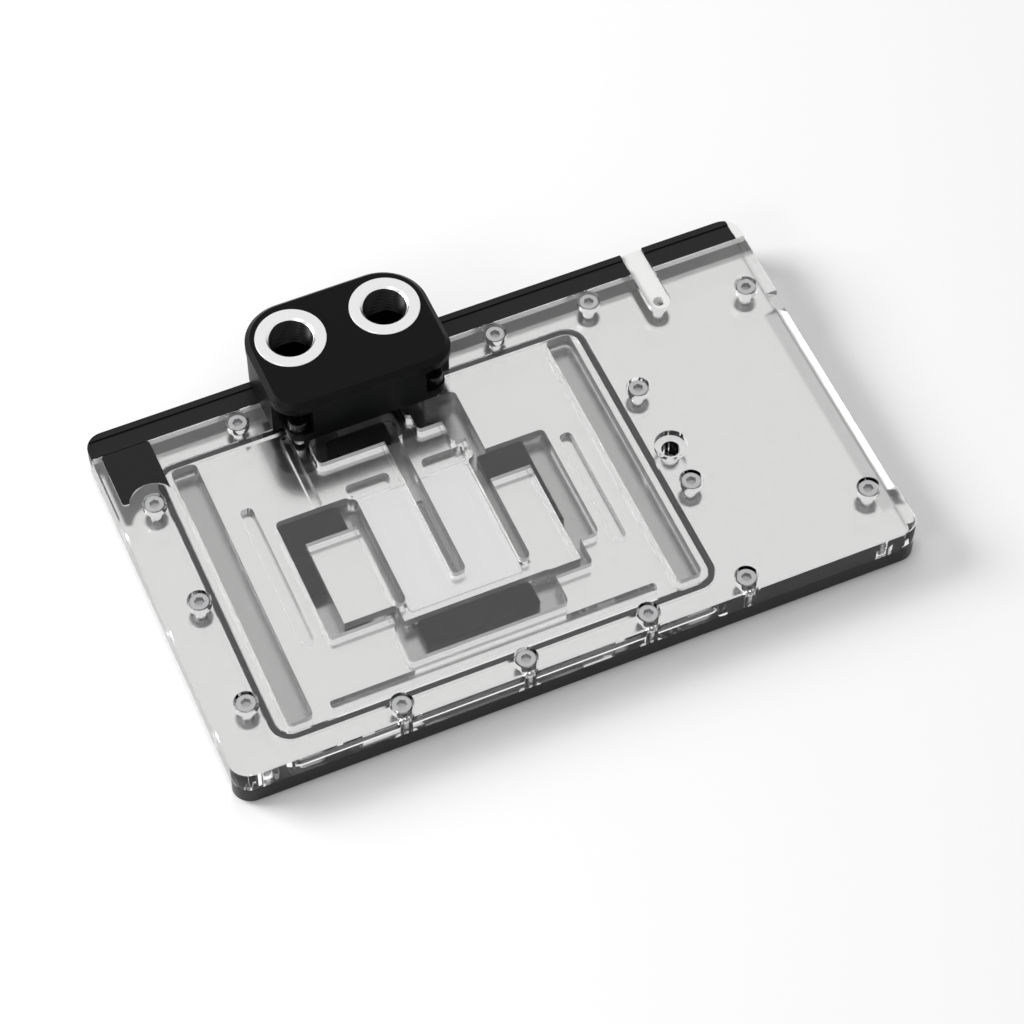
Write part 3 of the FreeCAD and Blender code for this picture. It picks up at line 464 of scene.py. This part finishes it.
LAMP = Finish("lamp_resin", (0.8, 0.72, 0.4), roughness=0.3, tone=0.05, gloss=0.05, scale=0.0006,
              relief=0.00001)
# Clear acrylic, with painted shade on its milled faces and its sloped edge.
CLEAR = ClearFinish("clear_acrylic")


def dress(node: bpy.types.Object, material: bpy.types.Material) -> None:
    """Gives a node one material in every slot.

    Args:
        node: The object to dress.
        material: The material it gets.
    """
    if not node.material_slots:
        node.data.materials.append(material)
    for slot in node.material_slots:
        slot.material = material


def piece(name: str, mesh: bpy.types.Mesh, slot: str, *nodes: str) -> bpy.types.Object:
    """Adds a finished mesh to the scene in place of its plain solids.

    Args:
        name: Name of the new object.
        mesh: Its mesh, in the part's own frame.
        slot: Name of the record's material slot for it; not used.
        nodes: The solids that it stands for.

    Returns:
        The new object, riding on the part.
    """
    made = bpy.data.objects.new(name, mesh)
    bpy.context.scene.collection.objects.link(made)
    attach(made, "root")
    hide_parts(*nodes)
    log.info("made %s, %d faces", name, len(mesh.polygons))
    return made


class NodeMaker:
    """Small helper that adds and wires the nodes of one Geometry Nodes tree."""

    def __init__(self, name: str) -> None:
        """Makes an empty tree.

        Args:
            name: Name of the tree.
        """
        self.tree = bpy.data.node_groups.new(name, "GeometryNodeTree")
        self.tree.is_modifier = True
        self.source = self.tree.nodes.new("NodeGroupInput")

    def size(self, name: str, kind: str = "NodeSocketFloat") -> bpy.types.NodeSocket:
        """Adds a named input to the tree and returns its socket.

        Args:
            name: Name of the input.
            kind: Socket type.

        Returns:
            The socket that carries it inside the tree.
        """
        self.tree.interface.new_socket(name, in_out="INPUT", socket_type=kind)
        return self.source.outputs[name]

    def add(self, kind: str, settings: Optional[dict[str, object]] = None,
            **values: object) -> bpy.types.Node:
        """Adds a node, sets it up and fills its inputs.

        Args:
            kind: Node type.
            settings: Properties of the node.
            values: Inputs by name, or by position as i0, i1 and so on; each a socket or a value.

        Returns:
            The new node.
        """
        node = self.tree.nodes.new(kind)
        for key, value in (settings or {}).items():
            setattr(node, key, value)
        for key, value in values.items():
            place = int(key[1:]) if key[1:].isdigit() else key.replace("_", " ")
            if isinstance(value, bpy.types.NodeSocket):
                self.tree.links.new(value, node.inputs[place])
            else:
                node.inputs[place].default_value = value
        return node

    def sum(self, operation: str, *values: Value) -> bpy.types.NodeSocket:
        """Output of a maths node with the given inputs."""
        return maths(self.tree, operation, *values)

    def joined(self, *parts: bpy.types.NodeSocket) -> bpy.types.NodeSocket:
        """Several geometries as one.

        Args:
            parts: The geometries, in order.

        Returns:
            The joined geometry.
        """
        join = self.add("GeometryNodeJoinGeometry")
        for part in parts:
            self.tree.links.new(part, join.inputs["Geometry"])
        return join.outputs["Geometry"]

    def split_position(self) -> tuple[bpy.types.NodeSocket, ...]:
        """The place of each point.

        Returns:
            Its X, Y and Z.
        """
        spot = self.add("GeometryNodeInputPosition").outputs["Position"]
        parts = self.add("ShaderNodeSeparateXYZ", Vector=spot)
        return tuple(parts.outputs[axis] for axis in "XYZ")

    def moved(self, body: bpy.types.NodeSocket, place: Sequence[bpy.types.NodeSocket],
              **chosen: bpy.types.NodeSocket) -> bpy.types.NodeSocket:
        """Geometry whose points are set to new places.

        Args:
            body: The geometry.
            place: The new X, Y and Z.
            chosen: Selection, where only some points move.

        Returns:
            The moved geometry.
        """
        spot = self.add("ShaderNodeCombineXYZ", X=place[0], Y=place[1], Z=place[2])
        return self.add("GeometryNodeSetPosition", Geometry=body,
                        Position=spot.outputs["Vector"], **chosen).outputs["Geometry"]

    def finish(self, geometry: bpy.types.NodeSocket, material: bpy.types.NodeSocket) -> None:
        """Ends the tree in Realize Instances and Set Material.

        Args:
            geometry: What the tree made.
            material: Its material.
        """
        real = self.add("GeometryNodeRealizeInstances", Geometry=geometry)
        dressed = self.add("GeometryNodeSetMaterial", Geometry=real.outputs["Geometry"],
                           Material=material)
        self.tree.interface.new_socket("Geometry", in_out="OUTPUT",
                                       socket_type="NodeSocketGeometry")
        end = self.tree.nodes.new("NodeGroupOutput")
        self.tree.links.new(dressed.outputs["Geometry"], end.inputs["Geometry"])


def grown(tree: bpy.types.NodeTree, points: Sequence[Vector], values: dict[str, object],
          name: str) -> bpy.types.Mesh:
    """Runs a Geometry Nodes tree on some points and returns its result as a plain mesh.

    Args:
        tree: The tree.
        points: Where its copies go.
        values: Its inputs by name.
        name: Name of the mesh.

    Returns:
        The mesh.
    """
    seeds = bpy.data.meshes.new(name + "_points")
    seeds.from_pydata([tuple(point) for point in points], [], [])
    carrier = bpy.data.objects.new(name + "_carrier", seeds)
    bpy.context.scene.collection.objects.link(carrier)
    modifier = carrier.modifiers.new("nodes", "NODES")
    modifier.node_group = tree
    for item in tree.interface.items_tree:
        if item.in_out == "INPUT" and item.name in values:
            modifier[item.identifier] = values[item.name]
    depsgraph = bpy.context.evaluated_depsgraph_get()
    mesh = bpy.data.meshes.new_from_object(carrier.evaluated_get(depsgraph))
    mesh.name = name
    carrier.modifiers.remove(modifier)
    bpy.data.objects.remove(carrier)
    bpy.data.meshes.remove(seeds)
    return mesh


@dataclass(frozen=True)
class Seat:
    """Where one screw sits: the middle of its head's top face, its tip and its head's radius."""

    head: Vector
    tip: float
    radius: float


def screw_seats(node: bpy.types.Object, reach: float = 0.006) -> list[Seat]:
    """Finds the screws of a node that holds several.

    Args:
        node: The node with the plain screws.
        reach: A length greater than one head and less than the way to the next screw.

    Returns:
        One seat for each screw.
    """
    groups: list[list[Vector]] = []
    for vertex in node.data.vertices:
        point = vertex.co
        for group in groups:
            if (point.xy - group[0].xy).length < reach:
                group.append(point)
                break
        else:
            groups.append([point])
    seats = []
    for group in groups:
        low = Vector(min(point[axis] for point in group) for axis in range(3))
        high = Vector(max(point[axis] for point in group) for axis in range(3))
        head = Vector(((low.x + high.x) / 2, (low.y + high.y) / 2, high.z))
        seats.append(Seat(head, low.z, (high.x - low.x) / 2))
    return seats


@dataclass
class SocketScrews:
    """Socket head cap screws with knurled heads and cut threads.

    Sizes are in metres; sharp_angle is in degrees, and socket_end is the share that the socket's
    floor keeps at its deepest point.
    """

    head_height: float = 0.003
    shank_radius: float = 0.0015
    socket_flats: float = 0.0025
    socket_depth: float = 0.0016
    edge: float = 0.00022
    knurl: float = 0.00009
    pitch: float = 0.0005
    thread_depth: float = 0.0002
    sharp_angle: float = 25.0
    socket_end: float = 0.3
    sides: int = 48
    shank_sides: int = 24
    shank_rows: int = 72
    seed: int = 7

    def mesh(self, node: bpy.types.Object, material: bpy.types.Material) -> bpy.types.Mesh:
        """All screws of one node as a single mesh.

        Args:
            node: The node with the plain screws.
            material: Their finish.

        Returns:
            The mesh.
        """
        seats = screw_seats(node)
        first = seats[0]
        values = {"Head Radius": first.radius, "Head Height": self.head_height,
                  "Shank Radius": self.shank_radius, "Length": first.head.z - first.tip,
                  "Socket Flats": self.socket_flats, "Socket Depth": self.socket_depth,
                  "Edge": self.edge, "Knurl": self.knurl, "Pitch": self.pitch,
                  "Thread Depth": self.thread_depth, "Material": material}
        made = grown(self._tree(), [seat.head for seat in seats], values, node.name + "_mesh")
        made.set_sharp_from_angle(angle=math.radians(self.sharp_angle))
        return made

    def _tree(self) -> bpy.types.NodeTree:
        """Tree that makes one screw, head up with its top at the origin, and copies it.

        Returns:
            The tree, with one named input for each size.
        """
        make = NodeMaker("socket_screws")
        points = make.size("Geometry", "NodeSocketGeometry")
        head_r, head_h = make.size("Head Radius"), make.size("Head Height")
        shank_r, length = make.size("Shank Radius"), make.size("Length")
        flats, depth = make.size("Socket Flats"), make.size("Socket Depth")
        edge, knurl = make.size("Edge"), make.size("Knurl")
        pitch, cut = make.size("Pitch"), make.size("Thread Depth")
        material = make.size("Material", "NodeSocketMaterial")
        head = self._head(make, head_r, head_h, flats, depth, edge, knurl)
        shank = self._shank(make, shank_r, make.sum("SUBTRACT", length, head_h), head_h, pitch,
                            cut)
        screw = make.joined(head, shank)
        turn = make.add("FunctionNodeRandomValue", {"data_type": "FLOAT"}, i2=0.0,
                        i3=math.tau, Seed=self.seed)
        angles = make.add("ShaderNodeCombineXYZ", Z=turn.outputs[1])
        copies = make.add("GeometryNodeInstanceOnPoints", Points=points,
                          Instance=screw, Rotation=angles.outputs["Vector"])
        make.finish(copies.outputs["Instances"], material)
        return make.tree

    def _head(self, make: NodeMaker, radius: bpy.types.NodeSocket, height: bpy.types.NodeSocket,
              flats: bpy.types.NodeSocket, depth: bpy.types.NodeSocket,
              edge: bpy.types.NodeSocket, knurl: bpy.types.NodeSocket) -> bpy.types.NodeSocket:
        """Knurled head with rounded edges and a six-sided socket.

        Args:
            make: The tree's maker.
            radius: Head radius.
            height: Head height.
            flats: Width of the socket across its flats.
            depth: Depth of the socket.
            edge: Size of the edge breaks.
            knurl: Depth of the knurling.

        Returns:
            The head's geometry.
        """
        inner = make.sum("SUBTRACT", radius, edge)
        base = make.add("GeometryNodeMeshCircle", {"fill_type": "NGON"}, Vertices=self.sides,
                        Radius=inner)
        drop = make.add("ShaderNodeCombineXYZ", Z=make.sum("MULTIPLY", height, -1.0))
        placed = make.add("GeometryNodeTransform", Geometry=base.outputs["Mesh"],
                          Translation=drop.outputs["Vector"]).outputs["Geometry"]
        under = make.add("GeometryNodeFlipFaces", Mesh=placed).outputs["Mesh"]
        wider = make.sum("DIVIDE", radius, inner)
        narrower = make.sum("DIVIDE", inner, radius)
        side = make.sum("SUBTRACT", height, make.sum("MULTIPLY", edge, 2.0))
        body, top = self._step(make, placed, True, edge, wider)
        body, top = self._step(make, body, top, side, 1.0)
        body = self._knurled(make, body, radius, edge, knurl)
        body, top = self._step(make, body, top, edge, narrower)
        socket_r = make.sum("MULTIPLY", flats, 0.5)
        body, top = self._step(make, body, top, 0.0, make.sum("DIVIDE", socket_r, inner))
        body = self._six_sided(make, body, top, socket_r)
        body, top = self._step(make, body, top, make.sum("MULTIPLY", depth, -1.0), 1.0)
        body, top = self._step(make, body, top, make.sum("MULTIPLY", edge, -1.0),
                               self.socket_end)
        closed = make.add("GeometryNodeMergeByDistance", Geometry=make.joined(body, under),
                          Distance=WELD)
        return closed.outputs["Geometry"]

    @staticmethod
    def _step(make: NodeMaker, body: bpy.types.NodeSocket, top: Union[bpy.types.NodeSocket, bool],
              rise: Value, ratio: Value) -> tuple[bpy.types.NodeSocket, bpy.types.NodeSocket]:
        """Raises the top face by one step and scales it.

        Args:
            make: The tree's maker.
            body: The geometry so far.
            top: Which face is the top.
            rise: How far it moves.
            ratio: How much it grows.

        Returns:
            The new geometry and its top face.
        """
        raised = make.add("GeometryNodeExtrudeMesh", Mesh=body, Selection=top,
                          Offset_Scale=rise)
        scaled = make.add("GeometryNodeScaleElements", Geometry=raised.outputs["Mesh"],
                          Selection=raised.outputs["Top"], Scale=ratio)
        return scaled.outputs["Geometry"], raised.outputs["Top"]

    def _knurled(self, make: NodeMaker, body: bpy.types.NodeSocket,
                 radius: bpy.types.NodeSocket, edge: bpy.types.NodeSocket,
                 knurl: bpy.types.NodeSocket) -> bpy.types.NodeSocket:
        """Draws every second line of the head's side in by the knurling's depth.

        Args:
            make: The tree's maker.
            body: The head so far.
            radius: Head radius.
            edge: Size of the edge breaks.
            knurl: Depth of the knurling.

        Returns:
            The knurled geometry.
        """
        x, y, z = make.split_position()
        out = make.sum("SQRT", make.sum("ADD", make.sum("MULTIPLY", x, x),
                                        make.sum("MULTIPLY", y, y)))
        rim = make.sum("GREATER_THAN", out,
                       make.sum("SUBTRACT", radius, make.sum("MULTIPLY", edge, 0.5)))
        turns = make.sum("MULTIPLY", make.sum("ARCTAN2", y, x), self.sides / 2)
        wave = make.sum("SUBTRACT", 1.0, make.sum("COSINE", turns))
        share = make.sum("DIVIDE", make.sum("MULTIPLY", wave, make.sum("MULTIPLY", knurl, 0.5)),
                         radius)
        factor = make.sum("SUBTRACT", 1.0, make.sum("MULTIPLY", share, rim))
        return make.moved(body, (make.sum("MULTIPLY", x, factor),
                                 make.sum("MULTIPLY", y, factor), z))

    @staticmethod
    def _six_sided(make: NodeMaker, body: bpy.types.NodeSocket, top: bpy.types.NodeSocket,
                   half_flats: bpy.types.NodeSocket) -> bpy.types.NodeSocket:
        """Turns the top face's round outline into a hexagon.

        Args:
            make: The tree's maker.
            body: The head so far.
            top: Which face is the top.
            half_flats: Half the width across the flats.

        Returns:
            The geometry with its six-sided face.
        """
        x, y, z = make.split_position()
        angle = make.sum("ARCTAN2", y, x)
        sixth = math.tau / 6
        local = make.sum("SUBTRACT", make.sum("FLOORED_MODULO", make.sum("ADD", angle, sixth),
                                              sixth), sixth / 2)
        reach = make.sum("DIVIDE", half_flats, make.sum("COSINE", local))
        return make.moved(body, (make.sum("MULTIPLY", make.sum("COSINE", angle), reach),
                                 make.sum("MULTIPLY", make.sum("SINE", angle), reach), z),
                          Selection=top)

    def _shank(self, make: NodeMaker, radius: bpy.types.NodeSocket,
               length: bpy.types.NodeSocket, drop: bpy.types.NodeSocket,
               pitch: bpy.types.NodeSocket, cut: bpy.types.NodeSocket) -> bpy.types.NodeSocket:
        """Shank with a helical thread over its whole length.

        Args:
            make: The tree's maker.
            radius: Outer radius.
            length: Length below the head.
            drop: Head height.
            pitch: Thread pitch.
            cut: Depth of the thread.

        Returns:
            The shank's geometry.
        """
        bar = make.add("GeometryNodeMeshCylinder", Vertices=self.shank_sides,
                       Side_Segments=self.shank_rows, Radius=radius, Depth=length)
        x, y, z = make.split_position()
        turn = make.sum("DIVIDE", make.sum("ARCTAN2", y, x), math.tau)
        along = make.sum("FRACT", make.sum("SUBTRACT", make.sum("DIVIDE", z, pitch), turn))
        groove = make.sum("ABSOLUTE", make.sum("SUBTRACT", make.sum("MULTIPLY", along, 2.0),
                                               1.0))
        factor = make.sum("SUBTRACT", 1.0, make.sum("MULTIPLY", groove,
                                                    make.sum("DIVIDE", cut, radius)))
        level = make.sum("SUBTRACT", z, make.sum("ADD", drop, make.sum("MULTIPLY", length, 0.5)))
        return make.moved(bar.outputs["Mesh"], (make.sum("MULTIPLY", x, factor),
                                                make.sum("MULTIPLY", y, factor), level))


@dataclass
class ColdPlate:
    """Plated copper plate with its fins, and the steel jet plate on them."""

    nodes: dict[str, bpy.types.Object]

    def build(self) -> None:
        """Dresses the plate and the jet plate."""
        dress(self.nodes["cold_plate"], NICKEL.material())
        dress(self.nodes["jet_plate"], JET.material())


def ease_off(node: bpy.types.Object, amount: float) -> None:
    """Draws a clear solid's faces in by a hair, so that none coincides with what it lies on.

    Args:
        node: The clear solid.
        amount: Distance in metres.
    """
    weld = node.modifiers.new("weld", "WELD")
    weld.merge_threshold = WELD
    shrink = node.modifiers.new("shrink", "DISPLACE")
    shrink.strength = -amount
    shrink.mid_level = 0.0


@dataclass
class FlowTop:
    """Clear top with its gasket, flow guides and screws.

    Args:
        nodes: The solids by name.
        film: Distance that the clear top's faces are drawn in, in metres.
        lowest_pocket: Height above the gasket's foot where the deep pockets' dull faces start.
        skin: Margin round a space, so that the faces on its edge are in it or out of it.
        guides: The flow guides' nodes.
    """

    nodes: dict[str, bpy.types.Object]
    film: float = 0.00002
    lowest_pocket: float = 0.0022
    skin: float = 0.0002
    guides: Sequence[str] = ("flow_guide_left", "flow_guide_right", "inlet_guide",
                             "outlet_guide")

    def build(self) -> None:
        """Dresses the clear top and everything seen through it."""
        dress(self.nodes["clear_top"], CLEAR.material(self._pockets(), self._bonds()))
        ease_off(self.nodes["clear_top"], self.film)
        dress(self.nodes["main_o_ring"], RUBBER.material())
        acetal = ACETAL.material()
        for name in self.guides:
            dress(self.nodes[name], acetal)
        screws = SocketScrews().mesh(self.nodes["cover_screws"], STEEL.material())
        piece("cover_screw_set", screws, "steel", "cover_screws")

    def _pockets(self) -> Space:
        """The space of the deep pockets: inside the gasket, above the shallow grooves.

        Returns:
            The space.
        """
        _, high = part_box("clear_top")
        ring_low, ring_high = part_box("main_o_ring")
        return Space(Vector((ring_low.x, ring_low.y, ring_low.z + self.lowest_pocket)),
                     Vector((ring_high.x, ring_high.y, high.z - self.skin)))

    def _bonds(self) -> list[Space]:
        """The spaces of the light strip's rebate and of the corner plate's pocket.

        Returns:
            One space for each.
        """
        low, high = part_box("clear_top")
        strip_low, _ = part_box("light_cover_long")
        plate_low, plate_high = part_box("corner_plate")
        reach = Vector((self.skin, self.skin, self.skin))
        below_top = Vector((0, 0, 3 * self.skin))
        rebate = Space(Vector((low.x, strip_low.y, strip_low.z)) - reach, high - below_top)
        pocket = Space(plate_low - reach, plate_high + reach - below_top)
        return [rebate, pocket]


@dataclass
class Trim:
    """Black strip, corner plate, front trim and the lighting under the strip."""

    nodes: dict[str, bpy.types.Object]
    black: Sequence[str] = ("light_cover_long", "light_cover_short", "corner_plate",
                            "front_trim")
    white: Sequence[str] = ("light_end_cap", "cable_bridge")

    def build(self) -> None:
        """Dresses the trim pieces."""
        cover, white = COVER.material(), WHITE.material()
        for name in self.black:
            dress(self.nodes[name], cover)
        for name in self.white:
            dress(self.nodes[name], white)
        dress(self.nodes["led_board"], BOARD.material())
        dress(self.nodes["led_chips"], LAMP.material())


@dataclass
class PortRing:
    """Flanged port ring with its internal thread, in metres; sharp_angle is in degrees."""

    flange: float = 0.002
    barrel_radius: float = 0.0082
    edge: float = 0.0004
    minor_radius: float = 0.00572
    major_radius: float = 0.00658
    chamfer: float = 0.0009
    pitch: float = 0.001337
    sharp_angle: float = 30.0
    sides: int = 96
    rows_per_turn: int = 8

    def mesh(self, name: str, outside: bpy.types.Material,
             bore: bpy.types.Material) -> bpy.types.Mesh:
        """The ring as a closed mesh that fills the solid's box.

        Args:
            name: The ring's node.
            outside: Finish of the flange, the barrel and the chamfer.
            bore: Painted shade for the threaded wall, a near-black finish in place of the plating.

        Returns:
            The mesh.
        """
        low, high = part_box(name)
        centre = (low + high) / 2
        radius, depth = (high.x - low.x) / 2, high.z - low.z
        rows = self._outer_rows(radius, depth) + self._thread_rows(depth)
        points, faces = [], []
        for index, (reach, height) in enumerate(rows):
            row, upper = index * self.sides, (index + 1) % len(rows) * self.sides
            for side in range(self.sides):
                angle, after = math.tau * side / self.sides, (side + 1) % self.sides
                out = reach if reach > 0 else self._thread_radius(height, angle)
                points.append((centre.x + out * math.cos(angle),
                               centre.y + out * math.sin(angle), high.z + height))
                faces.append((row + side, row + after, upper + after, upper + side))
        made = bpy.data.meshes.new(name + "_mesh")
        made.from_pydata(points, [], faces)
        made.materials.append(outside)
        made.materials.append(bore)
        # The threaded wall below the chamfer takes the second material, the near-black painted bore
        # shade.
        for face in made.polygons:
            reach, height = rows[face.index // self.sides]
            face.material_index = int(reach == 0 and height < -self.chamfer)
        made.shade_smooth()
        made.set_sharp_from_angle(angle=math.radians(self.sharp_angle))
        return made

    def _outer_rows(self, radius: float, depth: float) -> list[tuple[float, float]]:
        """Radius and height of the outer wall's rows, from the foot to the chamfer's rim.

        Args:
            radius: Radius of the flange.
            depth: Height of the ring.

        Returns:
            One pair for each row.
        """
        rows = [(self.barrel_radius, -depth), (self.barrel_radius, -self.flange),
                (radius, -self.flange), (radius, -self.edge)]
        rows += [(radius - self.edge * (1 - math.cos(turn)), -self.edge * (1 - math.sin(turn)))
                 for turn in (math.pi / 6, math.pi / 3)]
        return rows + [(radius - self.edge, 0.0), (self.minor_radius + self.chamfer, 0.0)]

    def _thread_rows(self, depth: float) -> list[tuple[float, float]]:
        """Rows of the threaded wall, from under the rim to the foot.

        Args:
            depth: Height of the ring.

        Returns:
            One pair for each row, with 0 for a radius that the thread sets.
        """
        count = int(depth / self.pitch * self.rows_per_turn)
        return [(0.0, -depth * (row + 1) / count) for row in range(count)]

    def _thread_radius(self, height: float, angle: float) -> float:
        """Radius of the threaded wall at one point.

        Args:
            height: Height below the top face, negative.
            angle: Angle round the axis.

        Returns:
            The radius.
        """
        along = (height / self.pitch + angle / math.tau) % 1.0
        depth = self.major_radius - self.minor_radius
        thread = self.minor_radius + depth * (1 - abs(2 * along - 1))
        return max(thread, self.minor_radius + self.chamfer + height)


@dataclass
class Terminal:
    """Black port terminal with plated port rings."""

    nodes: dict[str, bpy.types.Object]
    rings: Sequence[str] = ("port_ring_left", "port_ring_right")

    def build(self) -> None:
        """Dresses the terminal and makes its rings and screws."""
        acetal = ACETAL.material()
        dress(self.nodes["terminal_body"], acetal)
        dress(self.nodes["terminal_cap"], acetal)
        screws = SocketScrews().mesh(self.nodes["terminal_screws"], BLACKENED.material())
        piece("terminal_screw_set", screws, "steel", "terminal_screws")
        rubber = RUBBER.material()
        dress(self.nodes["terminal_seal_left"], rubber)
        dress(self.nodes["terminal_seal_right"], rubber)
        for name in self.rings:
            low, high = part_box(name)
            # The rings' threaded walls get the near-black finish that is painted shade in the
            # bores.
            ring = PortRing().mesh(name, RING.material((low + high) / 2), BORE_SHADE.material())
            piece(name + "_threaded", ring, "plated_ring", name)


@dataclass(frozen=True)
class Lamp:
    """A square lamp aimed at the object: its position and side in metres, its power in watts."""

    name: str
    place: tuple[float, float, float]
    size: float
    power: float


LAMPS = (Lamp("key_lamp", (-1.22, 0.85, 0.93), 0.9, 27.5),
         Lamp("side_lamp", (-0.80, -0.42, 0.62), 0.3, 1.2))


@dataclass
class Studio:
    """White floor, soft lamps, even world light and the camera.

    Sizes are in metres and angles in degrees. The camera aims at a point given from the object's
    lowest corner; its focal length is given in sensor widths, and fill is the strength of the
    world's light on dull surfaces.
    """

    floor_half: float = 6.0
    target_x: float = 0.099347
    target_y: float = 0.056450
    azimuth: float = 23.585
    elevation: float = 55.062
    distance: float = 0.909586
    focal_in_widths: float = 3.32439
    sensor: float = 36.0
    fill: float = 0.56
    floor_tone: float = 0.97
    floor_roughness: float = 0.9

    def build(self, low: Vector) -> None:
        """Makes the floor, the lights and the camera.

        Args:
            low: Lowest corner of the object.
        """
        self._floor(low.z)
        self._world()
        for lamp in LAMPS:
            self._lamp(lamp)
        self._camera(low)

    def _floor(self, height: float) -> None:
        """White floor that shows white to the camera and keeps the object's shadow.

        Args:
            height: Height of the surface.
        """
        half = self.floor_half
        mesh = bpy.data.meshes.new("studio_floor")
        edge = [(-half, -half, height), (half, -half, height), (half, half, height),
                (-half, half, height)]
        mesh.from_pydata(edge, [], [(0, 1, 2, 3)])
        floor = bpy.data.objects.new("studio_floor", mesh)
        bpy.context.scene.collection.objects.link(floor)
        made = bpy.data.materials.new("floor_white")
        made.use_nodes = True
        shader = made.node_tree.nodes["Principled BSDF"]
        shader.inputs["Base Color"].default_value = (*[self.floor_tone] * 3, 1.0)
        shader.inputs["Roughness"].default_value = self.floor_roughness
        shader.inputs["Specular IOR Level"].default_value = 0.0
        dress(floor, made)
        floor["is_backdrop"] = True

    def _world(self) -> None:
        """Even white surroundings."""
        world = bpy.data.worlds.new("studio_world")
        bpy.context.scene.world = world
        world.use_nodes = True
        tree = world.node_tree
        background = tree.nodes["Background"]
        background.inputs["Color"].default_value = (1.0, 1.0, 1.0, 1.0)
        rays = tree.nodes.new("ShaderNodeLightPath")
        strength = tree.nodes.new("ShaderNodeMapRange")
        strength.inputs["To Min"].default_value = 1.0
        strength.inputs["To Max"].default_value = self.fill
        tree.links.new(rays.outputs["Is Diffuse Ray"], strength.inputs["Value"])
        tree.links.new(strength.outputs["Result"], background.inputs["Strength"])

    @staticmethod
    def _lamp(lamp: Lamp) -> None:
        """Adds a lamp to the scene.

        Args:
            lamp: The lamp.
        """
        light = bpy.data.lights.new(lamp.name, "AREA")
        light.shape = "SQUARE"
        light.size = lamp.size
        light.energy = lamp.power
        holder = bpy.data.objects.new(lamp.name, light)
        holder.location = lamp.place
        holder.rotation_euler = (-Vector(lamp.place)).to_track_quat("-Z", "Y").to_euler()
        bpy.context.scene.collection.objects.link(holder)

    def _camera(self, low: Vector) -> None:
        """Long-lens camera above the front left corner.

        Args:
            low: Lowest corner of the object.
        """
        target = low + Vector((self.target_x, self.target_y, 0.0))
        azimuth, elevation = math.radians(self.azimuth), math.radians(self.elevation)
        forward = Vector((math.sin(azimuth) * math.cos(elevation),
                          math.cos(azimuth) * math.cos(elevation), -math.sin(elevation)))
        data = bpy.data.cameras.new("studio_camera")
        data.sensor_width = self.sensor
        data.lens = self.focal_in_widths * self.sensor
        camera = bpy.data.objects.new("studio_camera", data)
        camera.location = target - forward * self.distance
        camera.rotation_euler = forward.to_track_quat("-Z", "Y").to_euler()
        bpy.context.scene.collection.objects.link(camera)
        bpy.context.scene.camera = camera


def corners(box: Sequence[Vector]) -> list[list[float]]:
    """A box as plain lists of numbers.

    Args:
        box: Lowest and highest corner.

    Returns:
        The two corners as lists.
    """
    return [[float(value) for value in corner] for corner in box]


def main() -> None:
    """Loads the frame, dresses each sub-assembly and sets the scene."""
    logging.basicConfig(level=logging.INFO, format="%(message)s")
    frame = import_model()
    cad_box = corners(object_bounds())
    nodes = frame["nodes"]
    bpy.context.scene.view_settings.view_transform = "Standard"
    for part in (ColdPlate(nodes), FlowTop(nodes), Trim(nodes), Terminal(nodes)):
        part.build()
        log.info("built %s", type(part).__name__)
    Studio().build(Vector(cad_box[0]))


if __name__ == "__main__":
    main()
